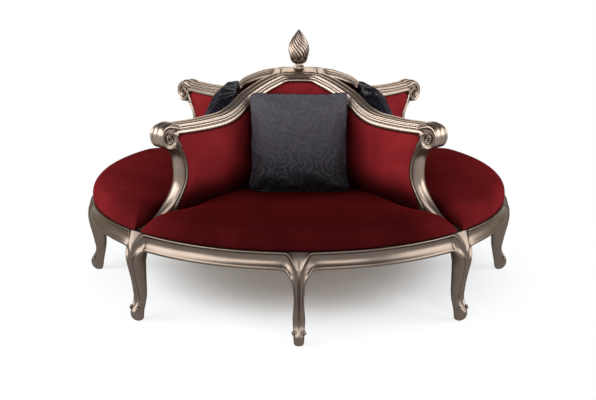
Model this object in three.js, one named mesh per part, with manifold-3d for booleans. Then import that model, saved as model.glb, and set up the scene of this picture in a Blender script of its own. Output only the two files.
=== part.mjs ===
// A round borne settee: a carved and leafed frame of eight legs, eight curved seat rails and four
// walls that meet under a finial, with four tight seats, four tight backs and four loose cushions.
// Millimetres, +Z up, the origin on the floor at the centre, the front quarter towards -Y.

import * as THREE from 'three';
import { LoftGeometry } from 'three/addons/geometries/LoftGeometry.js';
import { mergeVertices } from 'three/addons/utils/BufferGeometryUtils.js';
import Module from 'manifold-3d';

const wasm = await Module();
wasm.setup();

// Sizes that rule the whole settee
const FOOT_CIRCLE = 1000; // radius of the ring that the feet stand on
const RIM_HEIGHT = 402; // top of the seat rails above the floor
const CLEARANCE = 0.3; // gap between pieces that touch
const OVERRUN = 2; // how far cuts and tenons run past the faces that they pass
const WELD = 0.001; // points closer than this are one point

// Seat rails
const RAIL_HEIGHT = 76;
const RAIL_DEPTH = 60;
const RAIL_OVERHANG = 5; // how far the lower bead stands outside the foot circle
const RIM_WIDTH = 22.5; // flat and bead left outside the rebate for the seat deck
const RAIL_STEPS = 7;
const RAIL_TENON_LENGTH = 25;
const RAIL_TENON_WIDTH = 18;
const RAIL_TENON_HEIGHT = 32;

// Legs
const LEG_COUNT = 8;
const LEG_BLOCK_WIDTH = 112; // shield-shaped block at the top, measured on the foot circle
const LEG_WIDTH = 64; // widest part of the foot
const LEG_DEPTH = 80; // rule for how far the leg swings in and out

// Hub, beams and decks
const BEAM_WIDTH = 45;
const BEAM_HEIGHT = 55;
const BEAM_TENON_LENGTH = 20;
const BEAM_TENON_WIDTH = 22;
const BEAM_TENON_HEIGHT = 30;
const HUB_BLOCK_WIDTH = 180; // across the flats of the octagon
const DECK_THICKNESS = 15;
const PANEL_THICKNESS = 24;

// Arms, crest rails and crown
const ARM_WIDTH = 86;
const POST_SWEEP = 217.5; // from the joint between crest rail and scroll out to the seat's edge
const ARM_LIP_HEIGHT = 797; // lower lip of the crest rail over the arm, above the floor
const ARCH_RISE = 161; // from there to the lip at the middle of the arch
const CREST_DEPTH = 46;
const CREST_TENON_LENGTH = 18;
const CREST_TENON_WIDTH = 16;
const CREST_TENON_HEIGHT = 24;
const CROWN_WIDTH = 174; // square inside the four arches
const CROWN_TURN_RADIUS = 100; // at the back of a crest rail, where it turns from wall to arch
const CROWN_TOP_RISE = 9; // the crown block's top above the top of the arch
const CROWN_DOME = 13; // height of the low dome that tops the crown block
const CROWN_SEAT_DROP = 12; // from the lip of the arch to the underside of the crown block
const POST_TENON = 22;
const POST_TENON_LENGTH = 16;
const SCROLL_SIZE = 120; // height of the scroll above the post
const SCROLL_DROP_SHARE = 0.46; // part of the scroll that lies below the lip of the crest rail
const EYE_RADIUS = 11;
const EYE_RELIEF = 3;
const EYE_SIDES = 12;

// Finial
const FINIAL_HEIGHT = 183;
const FINIAL_RADIUS = 49.5;
const FINIAL_FLUTES = 16;
const FLUTE_SHARE = 0.1; // depth of a flute as a share of the radius
const FINIAL_TWIST = Math.PI * 0.75;
const FINIAL_PIN_RADIUS = 12;
const FINIAL_PIN_LENGTH = 40;

// Upholstery
const SEAT_HEIGHT = 500; // crown of the seat above the floor
const SEAT_EDGE = 50; // rule for the roll of the seat's outer edge
const SEAT_ARC_POINTS = 12;
const BACK_HIDDEN_DROP = 14; // how far the hidden rear edge of a back stays below the crest rail
const BACK_TOP_GAP = 1; // between the back and the lip of the crest rail over it
const BACK_DOME = 2; // how far the middle of the back stands proud of its foot
const CUSHION_WIDTH = 460;
const CUSHION_HEIGHT = 455;
const CUSHION_THICKNESS = 150;
const CUSHION_SEAM = 8; // thickness left along the piped edge
const CUSHION_DRAW_SHARE = 0.05; // how far the sides draw in between the corners
const CUSHION_SWELL_POWER = 0.42; // the smaller, the fuller the cushion stays near its edges
const CUSHION_CELLS = 8;
const CUSHION_LEANS = [15.7, 25]; // degrees back from upright, front and back, then left and right

const LEG_NAMES = [
  'front', 'front_right', 'right', 'back_right', 'back', 'back_left', 'left', 'front_left',
];

// Materials
const leaf = new THREE.MeshStandardMaterial({ color: '#a99a88', roughness: 0.32, metalness: 0.85 });
const frameWood = new THREE.MeshStandardMaterial({ color: '#b08a5c', roughness: 0.7, metalness: 0 });
const redFabric = new THREE.MeshStandardMaterial({ color: '#6e161a', roughness: 0.9, metalness: 0 });
const slateFabric = new THREE.MeshStandardMaterial({ color: '#2c2a38', roughness: 0.7, metalness: 0 });

// Shares chosen by hand for the outlines

// Rail section: share of the depth from the inside out, share of the height from the foot up
const RAIL_SHARES = [
  [0, 0.06], [0.88, 0.02], [1, 0.07], [0.99, 0.17], [0.9, 0.26], [0.75, 0.46], [0.67, 0.66],
  [0.69, 0.82], [0.78, 0.87], [0.8, 0.95], [0.73, 1],
];
// Leg: share of the height, outer and inner faces in depths from the foot circle, half width in
// half foot widths, and how square the section is
const LEG_SHARES = [
  [0, 0.1, -0.25, 0.44, 0],
  [0.045, 0.35, -0.33, 0.52, 0],
  [0.1, 0.42, -0.35, 0.74, 0],
  [0.155, 0.3, -0.42, 0.98, 0],
  [0.235, 0.07, -0.52, 0.9, 0],
  [0.34, 0.12, -0.6, 0.8, 0],
  [0.5, 0.3, -0.62, 0.67, 0],
  [0.65, 0.45, -0.6, 0.82, 0],
  [0.745, 0.44, -0.6, 1.2, 0.3],
];
// The block above it: share of the rail height, outer face in depths, squareness
const BLOCK_SHARES = [
  [0.06, 0.36, 1],
  [0.4, 0.24, 1],
  [0.72, 0.08, 1],
  [1, -0.08, 1],
];
// Leg section round half of its outline: shares of depth and of half width, round and square
const LEG_SECTION_SHARES = [
  [0, 0, 0, 0],
  [0, 0.7, 0, 1],
  [0.3, 1, 0.3, 1],
  [0.7, 0.9, 0.68, 1],
  [0.93, 0.5, 0.84, 0.6],
  [1, 0, 1, 0],
];
// Crest rail: share of the arm's reach, share of the arch's rise, upright depth there in crest depths
const LIP_SHARES = [
  [1, 0.03, 1], [0.86, 0.008, 1.02], [0.74, 0.006, 1.1], [0.64, 0.05, 1.08], [0.55, 0.18, 1.17],
  [0.47, 0.43, 1.15], [0.37, 0.67, 1.02], [0.27, 0.85, 0.98],
];
const TURN_LIP_SHARES = [[0.94, 0.94], [0.965, 0.87], [0.985, 0.8], [0.995, 0.74]];
const ARCH_SHARE = 0.74; // upright depth of the crest rail at the middle of the arch
// Crest rail section: share of half the arm's width from the divider, share of the height
const CREST_SHARES = [
  [0, 0], [1, 0], [1, 0.17], [0.84, 0.38], [0.88, 0.52], [0.62, 0.72], [0.58, 0.9], [0.36, 1],
  [0.12, 0.96], [0, 0.84],
];
// Arm post, from the joint under the scroll down to the tail: inner point and outer point in
// sweeps from the crest joint and in post heights above the rim, half width in half arm widths
const POST_SHARES = [
  [-0.036, 1, 0.21, 1, 0.95],
  [-0.15, 0.85, 0.055, 0.865, 0.93],
  [-0.205, 0.68, 0.02, 0.68, 0.91],
  [-0.17, 0.53, 0.05, 0.5, 0.88],
  [-0.036, 0.35, 0.2, 0.34, 0.8],
  [0.09, 0.2, 0.42, 0.2, 0.7],
  [0.09, 0.01, 0.66, 0.095, 0.62],
  [0.5, 0.01, 0.84, 0.045, 0.55],
  [0.92, 0.01, 0.98, 0.018, 0.5],
];
const POST_ROW_COUNT = 6; // rows of the table above the one where the tail leaves the post
// Post section round half of its outline: share from the inner to the outer point, share of width
const POST_SECTION_SHARES = [[0, 0.94], [0.08, 1], [0.3, 1], [0.55, 0.86], [0.8, 0.6], [0.96, 0.25]];
// Inside edge of the scroll, above the post: sweeps from the crest joint, scroll sizes up
const SCROLL_EDGE_SHARES = [[0.06, 0.3], [0.035, 0.5]];
// The rest of the scroll's outline
const SCROLL_SHARES = [
  [0, 0.5], [0, 0.88], [0.1, 0.93], [0.2, 0.94], [0.32, 0.88], [0.42, 0.7], [0.455, 0.5],
  [0.44, 0.3], [0.385, 0.14], [0.31, 0.04], [0.22, 0],
];
const EYE_SHARES = [0.25, 0.34];
// Dome of the crown block: share of its half width, share of the dome's height
const CROWN_DOME_SHARES = [[1, 0], [0.86, 0.36], [0.62, 0.75], [0.35, 1]];
// Finial: share of the height, share of the radius, and how deep the flutes are there
const FINIAL_SHARES = [
  [0, 0.46, 0], [0.02, 0.48, 0], [0.075, 0.37, 0], [0.13, 0.48, 0], [0.19, 0.7, 0], [0.24, 0.92, 0],
  [0.26, 0.83, 1], [0.34, 0.94, 1], [0.44, 1, 1], [0.53, 1, 1], [0.63, 0.92, 1], [0.73, 0.76, 1],
  [0.82, 0.55, 1], [0.9, 0.34, 1], [0.96, 0.17, 0.6], [1, 0.03, 0],
];
// Face of a back: share of the height, share of the thickness, part of the dome
const BACK_SHARES = [[0, 1, 0], [0.3, 1, 0], [0.42, 1, 1], [0.7, 1, 1], [0.87, 0.97, 0.4], [1, 0.6, 0]];
const BACK_HIDDEN_SHARE = 0.91; // reach of the hidden rear side of a back, in arm reaches
// Seat pad, ring by ring from the deck to the crown: height share and inset in edge rolls along
// the sides, the same along the round front, and the extra inset where a corner slopes away
const SEAT_RING_SHARES = [
  [0, 0.04, 0, 0.1, 0],
  [0.04, 0, 0.04, 0, 0],
  [0.25, 0, 0.25, -0.2, 0.4],
  [0.5, 0, 0.5, -0.14, 0.9],
  [0.74, 0, 0.72, 0.1, 1.5],
  [0.9, 0.08, 0.88, 0.5, 2.3],
  [0.975, 0.4, 0.965, 1.2, 3.2],
  [1, 1.3, 1, 2.6, 4],
];
// Places along the wall, in arm reaches, and the part of the slope there
const SEAT_SIDE_SHARES = [[0.26, 0], [0.42, 0], [0.6, 0.02], [0.82, 0.25], [1.03, 0.75]];
// Between the last of those and the rim: share of the way, part of the front, part of the slope
const SEAT_TAPER_SHARES = [[0.33, 0.1, 0.95], [0.68, 0.42, 1.05]];
const SEAT_CORNER_SHARES = [1.05, 0.42, 0.08];
const SEAT_CORNER_FRONT_SHARE = 0.5;
const SEAT_CENTRE_SHARE = 0.6;

// Places worked out from the sizes above
const QUARTER = Math.PI / 2;
const DIAGONAL = Math.SQRT1_2;
const RAIL_RADIUS = FOOT_CIRCLE + RAIL_OVERHANG;
const RAIL_INSIDE = RAIL_RADIUS - RAIL_DEPTH;
const RAIL_FOOT = RIM_HEIGHT - RAIL_HEIGHT;
const LEDGE_RADIUS = RAIL_RADIUS - RIM_WIDTH;
const ARM_REACH = LEDGE_RADIUS - POST_SWEEP; // from the axis to the end of a crest rail
const RIM_CLEAR = LEDGE_RADIUS * Math.cos(Math.PI / LEG_COUNT / RAIL_STEPS) - CLEARANCE;
const DECK_TOP = RIM_HEIGHT - 2 * CLEARANCE;
const LEDGE_HEIGHT = DECK_TOP - DECK_THICKNESS - CLEARANCE;
const BEAM_FOOT = LEDGE_HEIGHT - BEAM_HEIGHT;
const BEAM_MIDDLE = LEDGE_HEIGHT - BEAM_HEIGHT / 2;
const RAIL_MIDDLE = (RAIL_FOOT + LEDGE_HEIGHT) / 2;
const LEG_ANGLE = 2 * Math.PI / LEG_COUNT;
const LEG_BLOCK_SHARE = LEG_BLOCK_WIDTH / 2 / FOOT_CIRCLE;
const LEG_BLOCK_ANGLE = Math.atan(LEG_BLOCK_SHARE);
const HUB_POST_WIDTH = CROWN_WIDTH + PANEL_THICKNESS;
const HUB_POST_CHAMFER = PANEL_THICKNESS;
const WALL_HALF = PANEL_THICKNESS / 2 + CLEARANCE;
const ARM_HALF = ARM_WIDTH / 2;
const ARCH_LIP = ARM_LIP_HEIGHT + ARCH_RISE;
const ARCH_TOP = ARCH_LIP + ARCH_SHARE * CREST_DEPTH;
const ARCH_BACK = CROWN_WIDTH / 2 + CLEARANCE;
const CROWN_FOOT = ARCH_LIP - CROWN_SEAT_DROP;
const CROWN_TOP = ARCH_TOP + CROWN_TOP_RISE;
const TURN_REACH = CROWN_TURN_RADIUS * Math.tan(QUARTER / 4);
const TURN_START = ARCH_BACK - TURN_REACH;
const WALL_START = ARCH_BACK / DIAGONAL + TURN_REACH;
const POST_JOINT = ARM_LIP_HEIGHT - SCROLL_DROP_SHARE * SCROLL_SIZE; // underside of the scroll
const POST_HEIGHT = POST_JOINT - RIM_HEIGHT;
const BACK_FACE = ARM_HALF;
const BACK_THICKNESS = BACK_FACE - WALL_HALF; // tight inside back, over the divider panel
const SEAT_SIDE = BACK_FACE + 2 * CLEARANCE;

// Geometry helpers

function point(x, y, z) {
  return new THREE.Vector3(x, y, z);
}

function volumeOf(geometry) {
  const at = geometry.attributes.position;
  const index = geometry.index.array;
  const corner = [0, 1, 2].map(() => new THREE.Vector3());
  let total = 0;
  for (let i = 0; i < index.length; i += 3) {
    corner.forEach((v, k) => v.fromBufferAttribute(at, index[i + k]));
    total += corner[0].dot(corner[1].cross(corner[2])) / 6;
  }
  return total;
}

// A closed body through rings of points, turned so that its faces look out.
function loft(rings) {
  const options = { closed: true, capStart: true, capEnd: true };
  const made = new LoftGeometry(rings, options);
  if (volumeOf(made) > 0) {
    return made;
  }
  return new LoftGeometry(rings.map((ring) => [...ring].reverse()), options);
}

function box(x0, x1, y0, y1, z0, z1) {
  const made = new THREE.BoxGeometry(x1 - x0, y1 - y0, z1 - z0);
  return made.translate((x0 + x1) / 2, (y0 + y1) / 2, (z0 + z1) / 2);
}

// A plate standing on a divider: its outline is in distance from the axis and height.
function standingPlate(outline, thickness) {
  const shape = new THREE.Shape(outline.map(([r, z]) => new THREE.Vector2(r, z)));
  const made = new THREE.ExtrudeGeometry(shape, { depth: thickness, bevelEnabled: false });
  return made.rotateX(QUARTER).translate(0, thickness / 2, 0);
}

function lyingPlate(outline, z0, z1) {
  const shape = new THREE.Shape(outline.map(([x, y]) => new THREE.Vector2(x, y)));
  return new THREE.ExtrudeGeometry(shape, { depth: z1 - z0, bevelEnabled: false }).translate(0, 0, z0);
}

// A bar bent round the axis, with a section of distances from the axis and heights.
function arcBar(section, angle0, angle1, steps) {
  const rings = [];
  for (let i = 0; i <= steps; i += 1) {
    const angle = angle0 + (angle1 - angle0) * i / steps;
    rings.push(section.map(([r, z]) => point(r * Math.cos(angle), r * Math.sin(angle), z)));
  }
  return loft(rings);
}

function rectangle(r0, r1, z0, z1) {
  return [[r0, z0], [r1, z0], [r1, z1], [r0, z1]];
}

function solid(geometry) {
  const bare = new THREE.BufferGeometry();
  bare.setAttribute('position', geometry.attributes.position);
  bare.setIndex(geometry.index);
  const welded = mergeVertices(bare, WELD);
  return new wasm.Manifold(new wasm.Mesh({
    numProp: 3,
    vertProperties: welded.attributes.position.array,
    triVerts: new Uint32Array(welded.index.array),
  }));
}

function geometryOf(body) {
  const mesh = body.getMesh();
  const made = new THREE.BufferGeometry();
  made.setAttribute('position', new THREE.BufferAttribute(mesh.vertProperties, 3));
  made.setIndex(new THREE.BufferAttribute(mesh.triVerts, 1));
  made.computeVertexNormals();
  return made;
}

function carve(first, added, removed) {
  let body = solid(first);
  added.forEach((piece) => {
    body = body.add(solid(piece));
  });
  removed.forEach((piece) => {
    body = body.subtract(solid(piece));
  });
  return geometryOf(body);
}

// The value at a place in a table of [place, value] rows whose places fall or rise steadily.
function between(rows, place) {
  for (let i = 1; i < rows.length; i += 1) {
    const [a, from] = rows[i - 1];
    const [b, to] = rows[i];
    if ((place - a) * (place - b) <= 0) {
      return from + (to - from) * (place - a) / (b - a);
    }
  }
  const rising = rows[0][0] < rows[rows.length - 1][0];
  return (place < rows[0][0]) === rising ? rows[0][1] : rows[rows.length - 1][1];
}

// A place beside a divider: the distance out along it and the distance from its middle plane.
// side is 1 for the divider anticlockwise of the quarter and -1 for the other one.
function beside(side, reach, offset) {
  return [(reach + offset) * DIAGONAL, side * (reach - offset) * DIAGONAL];
}

// Legs and seat rails

function mortiseOfRail(side, slack) {
  const inside = side * (LEG_BLOCK_ANGLE - (RAIL_TENON_LENGTH + slack) / RAIL_RADIUS);
  const outside = side * (LEG_BLOCK_ANGLE + OVERRUN / RAIL_RADIUS);
  const middle = (RAIL_INSIDE + LEDGE_RADIUS) / 2;
  const section = rectangle(
    middle - RAIL_TENON_WIDTH / 2 - slack,
    middle + RAIL_TENON_WIDTH / 2 + slack,
    RAIL_MIDDLE - RAIL_TENON_HEIGHT / 2 - slack,
    RAIL_MIDDLE + RAIL_TENON_HEIGHT / 2 + slack,
  );
  return arcBar(section, Math.min(inside, outside), Math.max(inside, outside), 1);
}

function beamTenon(face, direction, slack) {
  const tip = face + direction * (BEAM_TENON_LENGTH + slack);
  const root = face - direction * OVERRUN;
  const half = BEAM_TENON_WIDTH / 2 + slack;
  const rise = BEAM_TENON_HEIGHT / 2 + slack;
  return box(Math.min(tip, root), Math.max(tip, root), -half, half, BEAM_MIDDLE - rise, BEAM_MIDDLE + rise);
}

function legRing(z, outer, inner, halfShare, square) {
  const half = LEG_SECTION_SHARES.map(([round, roundWide, squared, squaredWide]) => {
    const r = inner + (outer - inner) * (round + (squared - round) * square);
    return [r, r * halfShare * (roundWide + (squaredWide - roundWide) * square)];
  });
  const back = half.slice(1, -1).reverse();
  return [
    ...half.map(([r, y]) => point(r, y, z)),
    ...back.map(([r, y]) => point(r, -y, z)),
  ];
}

function legShape() {
  const foot = LEG_WIDTH / 2 / FOOT_CIRCLE;
  const rings = LEG_SHARES.map(([height, outer, inner, half, square]) => legRing(
    height * RIM_HEIGHT,
    FOOT_CIRCLE + outer * LEG_DEPTH,
    FOOT_CIRCLE + inner * LEG_DEPTH,
    foot * half,
    square,
  ));
  BLOCK_SHARES.forEach(([height, outer, square]) => rings.push(legRing(
    RAIL_FOOT + height * RAIL_HEIGHT,
    FOOT_CIRCLE + outer * LEG_DEPTH,
    RAIL_INSIDE,
    LEG_BLOCK_SHARE,
    square,
  )));
  const rebate = new THREE.CylinderGeometry(LEDGE_RADIUS, LEDGE_RADIUS, RAIL_HEIGHT, LEG_COUNT * RAIL_STEPS);
  rebate.rotateX(QUARTER).translate(0, 0, LEDGE_HEIGHT + RAIL_HEIGHT / 2);
  return carve(loft(rings), [], [
    rebate,
    mortiseOfRail(1, CLEARANCE),
    mortiseOfRail(-1, CLEARANCE),
    beamTenon(RAIL_INSIDE, 1, CLEARANCE),
  ]);
}

// The rail runs from one leg to the next, between the side faces of their blocks.
function railShape() {
  const section = RAIL_SHARES.map(([out, up]) => [
    RAIL_INSIDE + out * RAIL_DEPTH,
    RAIL_FOOT + up * RAIL_HEIGHT,
  ]);
  section.push([LEDGE_RADIUS, RIM_HEIGHT], [LEDGE_RADIUS, LEDGE_HEIGHT], [RAIL_INSIDE, LEDGE_HEIGHT]);
  const start = LEG_BLOCK_ANGLE + CLEARANCE / RAIL_INSIDE;
  const nearTenon = mortiseOfRail(1, 0);
  const farTenon = mortiseOfRail(-1, 0).rotateZ(LEG_ANGLE);
  return carve(arcBar(section, start, LEG_ANGLE - start, RAIL_STEPS), [nearTenon, farTenon], []);
}

// Hub, beams, decks and divider panels

function hubBlockShape() {
  const radius = HUB_BLOCK_WIDTH / 2 / Math.cos(LEG_ANGLE / 2);
  const block = new THREE.CylinderGeometry(radius, radius, BEAM_HEIGHT, LEG_COUNT);
  block.rotateX(QUARTER).rotateZ(LEG_ANGLE / 2).translate(0, 0, BEAM_MIDDLE);
  const mortises = LEG_NAMES.map((name, i) => (
    beamTenon(HUB_BLOCK_WIDTH / 2, -1, CLEARANCE).rotateZ(i * LEG_ANGLE)
  ));
  return carve(block, [], mortises);
}

function beamShape() {
  const start = HUB_BLOCK_WIDTH / 2 + CLEARANCE;
  const end = RAIL_INSIDE - CLEARANCE;
  const half = BEAM_WIDTH / 2;
  const bar = box(start, end, -half, half, BEAM_FOOT, LEDGE_HEIGHT);
  return carve(bar, [beamTenon(start - CLEARANCE, -1, 0), beamTenon(end + CLEARANCE, 1, 0)], []);
}

function hubPostShape() {
  const half = HUB_POST_WIDTH / 2;
  const flat = half - HUB_POST_CHAMFER;
  const outline = [
    [half, -flat], [half, flat], [flat, half], [-flat, half],
    [-half, flat], [-half, -flat], [-flat, -half], [flat, -half],
  ];
  return lyingPlate(outline, LEDGE_HEIGHT + CLEARANCE, CROWN_FOOT - CLEARANCE);
}

function arcPoints(radius, offset, count) {
  const end = QUARTER / 2 - Math.asin(offset / radius);
  const points = [];
  for (let i = 0; i <= count; i += 1) {
    const angle = end - 2 * end * i / count;
    points.push([radius * Math.cos(angle), radius * Math.sin(angle)]);
  }
  return points;
}

function deckShape() {
  const front = HUB_POST_WIDTH / 2 + CLEARANCE;
  const side = front - WALL_HALF / DIAGONAL;
  const outline = [[front, -side], [front, side], ...arcPoints(RIM_CLEAR, WALL_HALF, LEG_COUNT)];
  return lyingPlate(outline.reverse(), LEDGE_HEIGHT + CLEARANCE, DECK_TOP);
}

// The inside edge of post and scroll as [height, distance from the axis], going up.
function innerEdge() {
  const post = POST_SHARES.slice(0, POST_ROW_COUNT + 1).map(([out, up]) => [
    RIM_HEIGHT + up * POST_HEIGHT,
    ARM_REACH + out * POST_SWEEP,
  ]);
  const scroll = SCROLL_EDGE_SHARES.map(([out, up]) => [
    POST_JOINT + up * SCROLL_SIZE,
    ARM_REACH + out * POST_SWEEP,
  ]);
  return [...post.reverse(), ...scroll];
}

function lipHeight(reach) {
  const rows = LIP_SHARES.map(([out, up]) => [out * ARM_REACH, ARM_LIP_HEIGHT + up * ARCH_RISE]);
  rows.push([WALL_START, ARM_LIP_HEIGHT + TURN_LIP_SHARES[0][0] * ARCH_RISE]);
  return between(rows, reach);
}

function panelShape() {
  const start = (HUB_POST_WIDTH - HUB_POST_CHAMFER) * DIAGONAL + CLEARANCE;
  const outline = [[start, LEDGE_HEIGHT + CLEARANCE]];
  const edge = innerEdge();
  outline.push([edge[0][1] - CLEARANCE, LEDGE_HEIGHT + CLEARANCE]);
  edge.forEach(([z, r]) => outline.push([r - 2 * CLEARANCE, z]));
  LIP_SHARES.forEach(([out]) => {
    outline.push([out * ARM_REACH - CLEARANCE, lipHeight(out * ARM_REACH) - 2 * CLEARANCE]);
  });
  outline.push([start, CROWN_FOOT - 2 * CLEARANCE]);
  return standingPlate(outline, PANEL_THICKNESS);
}

// Arm posts and scrolls

function postShape() {
  const rings = POST_SHARES.map(([inOut, inUp, outOut, outUp, wide]) => {
    const from = [ARM_REACH + inOut * POST_SWEEP, RIM_HEIGHT + inUp * POST_HEIGHT];
    const to = [ARM_REACH + outOut * POST_SWEEP, RIM_HEIGHT + outUp * POST_HEIGHT];
    const half = POST_SECTION_SHARES.map(([along, width]) => point(
      from[0] + (to[0] - from[0]) * along,
      wide * width * ARM_HALF,
      from[1] + (to[1] - from[1]) * along,
    ));
    const other = half.map((p) => point(p.x, -p.y, p.z)).reverse();
    return [...half, point(to[0], 0, to[1]), ...other];
  });
  const tail = POST_SHARES[POST_SHARES.length - 1];
  const root = POST_SHARES[POST_ROW_COUNT];
  const tongueHalf = PANEL_THICKNESS / 2;
  const tongue = box(
    ARM_REACH + root[0] * POST_SWEEP, ARM_REACH + tail[0] * POST_SWEEP,
    -tongueHalf, tongueHalf,
    LEDGE_HEIGHT + CLEARANCE, RIM_HEIGHT + root[1] * POST_HEIGHT + OVERRUN,
  );
  const middle = ARM_REACH + (POST_SHARES[0][0] + POST_SHARES[0][2]) / 2 * POST_SWEEP;
  const tenon = postTenon(middle, 0);
  const level = box(
    RAIL_INSIDE / 2, RAIL_RADIUS, -ARM_WIDTH, ARM_WIDTH,
    POST_JOINT - CLEARANCE, POST_JOINT + SCROLL_SIZE,
  );
  const body = solid(loft(rings)).subtract(solid(level)).add(solid(tongue)).add(solid(tenon));
  return geometryOf(body);
}

function postTenon(middle, slack) {
  const half = POST_TENON / 2 + slack;
  return box(
    middle - half, middle + half, -half, half,
    POST_JOINT - CLEARANCE - OVERRUN, POST_JOINT + POST_TENON_LENGTH + slack,
  );
}

function crestTenon(side, slack) {
  const middle = side * ARM_HALF / 2;
  const half = CREST_TENON_WIDTH / 2 + slack;
  const height = lipHeight(ARM_REACH) + CREST_DEPTH / 2;
  const rise = CREST_TENON_HEIGHT / 2 + slack;
  return box(
    ARM_REACH - OVERRUN - CLEARANCE, ARM_REACH + CREST_TENON_LENGTH + slack,
    middle - half, middle + half, height - rise, height + rise,
  );
}

function scrollShape() {
  const outline = [...SCROLL_EDGE_SHARES, ...SCROLL_SHARES].map(([out, up]) => [
    ARM_REACH + out * POST_SWEEP,
    POST_JOINT + up * SCROLL_SIZE,
  ]);
  outline.push([ARM_REACH + POST_SHARES[0][0] * POST_SWEEP, POST_JOINT]);
  const eye = new THREE.CylinderGeometry(
    EYE_RADIUS, EYE_RADIUS, ARM_WIDTH + 2 * EYE_RELIEF, EYE_SIDES,
  );
  const [eyeOut, eyeUp] = EYE_SHARES;
  eye.translate(ARM_REACH + eyeOut * POST_SWEEP, 0, POST_JOINT + eyeUp * SCROLL_SIZE);
  const middle = ARM_REACH + (POST_SHARES[0][0] + POST_SHARES[0][2]) / 2 * POST_SWEEP;
  return carve(standingPlate(outline, ARM_WIDTH), [eye], [
    postTenon(middle, CLEARANCE),
    crestTenon(1, CLEARANCE),
    crestTenon(-1, CLEARANCE),
  ]);
}

// Crest rails and crown

// Stations along the back of a crest rail from one arm to the other: place, the direction that
// the section faces, and the height of the lip.
function crestStations() {
  const half = LIP_SHARES.map(([out, up, deep]) => {
    const reach = Math.min(out * ARM_REACH, ARM_REACH - CLEARANCE);
    const [x, y] = beside(1, reach, CLEARANCE / 2);
    return { x, y, facing: -QUARTER / 2, lip: ARM_LIP_HEIGHT + up * ARCH_RISE, deep };
  });
  TURN_LIP_SHARES.forEach(([up, deep], i) => {
    const facing = -QUARTER / 2 * (1 - i / (TURN_LIP_SHARES.length - 1));
    half.push({
      x: ARCH_BACK + CROWN_TURN_RADIUS * (1 - Math.cos(facing)),
      y: TURN_START - CROWN_TURN_RADIUS * Math.sin(facing),
      facing,
      lip: ARM_LIP_HEIGHT + up * ARCH_RISE,
      deep,
    });
  });
  const middle = { x: ARCH_BACK, y: 0, facing: 0, lip: ARCH_LIP, deep: ARCH_SHARE };
  const other = half.map((at) => ({ ...at, y: -at.y, facing: -at.facing })).reverse();
  return [...half, middle, ...other];
}

function crestShape() {
  const width = ARM_HALF - CLEARANCE / 2;
  const rings = crestStations().map(({ x, y, facing, lip, deep }) => CREST_SHARES.map(([out, up]) => point(
    x + out * width * Math.cos(facing),
    y + out * width * Math.sin(facing),
    lip + up * deep * CREST_DEPTH,
  )));
  return carve(loft(rings), [
    crestTenon(-1, 0).rotateZ(QUARTER / 2),
    crestTenon(1, 0).rotateZ(-QUARTER / 2),
  ], []);
}

function crownShape() {
  const square = (share, z) => {
    const half = share * CROWN_WIDTH / 2;
    return [point(-half, -half, z), point(half, -half, z), point(half, half, z), point(-half, half, z)];
  };
  const dome = CROWN_DOME_SHARES.map(([share, up]) => square(share, CROWN_TOP - CROWN_DOME * (1 - up)));
  const block = loft([square(1, CROWN_FOOT), ...dome]);
  const bore = new THREE.CylinderGeometry(
    FINIAL_PIN_RADIUS + CLEARANCE, FINIAL_PIN_RADIUS + CLEARANCE,
    FINIAL_PIN_LENGTH + CLEARANCE + OVERRUN, FINIAL_FLUTES,
  );
  bore.rotateX(QUARTER).translate(0, 0, CROWN_TOP - (FINIAL_PIN_LENGTH + CLEARANCE - OVERRUN) / 2);
  return carve(block, [], [bore]);
}

function finialShape() {
  const foot = CROWN_TOP + CLEARANCE;
  const rings = FINIAL_SHARES.map(([up, out, flute]) => {
    const ring = [];
    for (let i = 0; i < 2 * FINIAL_FLUTES; i += 1) {
      const angle = Math.PI * i / FINIAL_FLUTES - FINIAL_TWIST * up;
      const depth = i % 2 ? FLUTE_SHARE * flute : 0;
      const radius = FINIAL_RADIUS * out * (1 - depth);
      ring.push(point(radius * Math.cos(angle), radius * Math.sin(angle), foot + up * FINIAL_HEIGHT));
    }
    return ring;
  });
  const length = FINIAL_PIN_LENGTH + OVERRUN;
  const pin = new THREE.CylinderGeometry(FINIAL_PIN_RADIUS, FINIAL_PIN_RADIUS, length, FINIAL_FLUTES);
  pin.rotateX(QUARTER).translate(0, 0, foot + OVERRUN - length / 2);
  return carve(loft(rings), [pin], []);
}

// Upholstery

// One upright section of a back: the hidden rear side, then the face from the top down.
// reachOf gives the place along the wall at a height, and place turns that into a plan point.
function backRing(levels, top, hidden, hiddenTop, reachOf, place) {
  const foot = DECK_TOP + CLEARANCE;
  const out = BACK_SHARES.map(([up, share]) => [up, share]);
  const dome = BACK_SHARES.map(([up, share, part]) => [up, part]);
  const face = levels.map((level) => {
    const z = foot + level * (top - foot);
    const offset = WALL_HALF + between(out, level) * BACK_THICKNESS + between(dome, level) * BACK_DOME;
    return point(...place(reachOf(level), offset), z);
  });
  const rear = place(hidden, WALL_HALF);
  return [point(...rear, foot), point(...rear, hiddenTop), ...face.reverse()];
}

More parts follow.
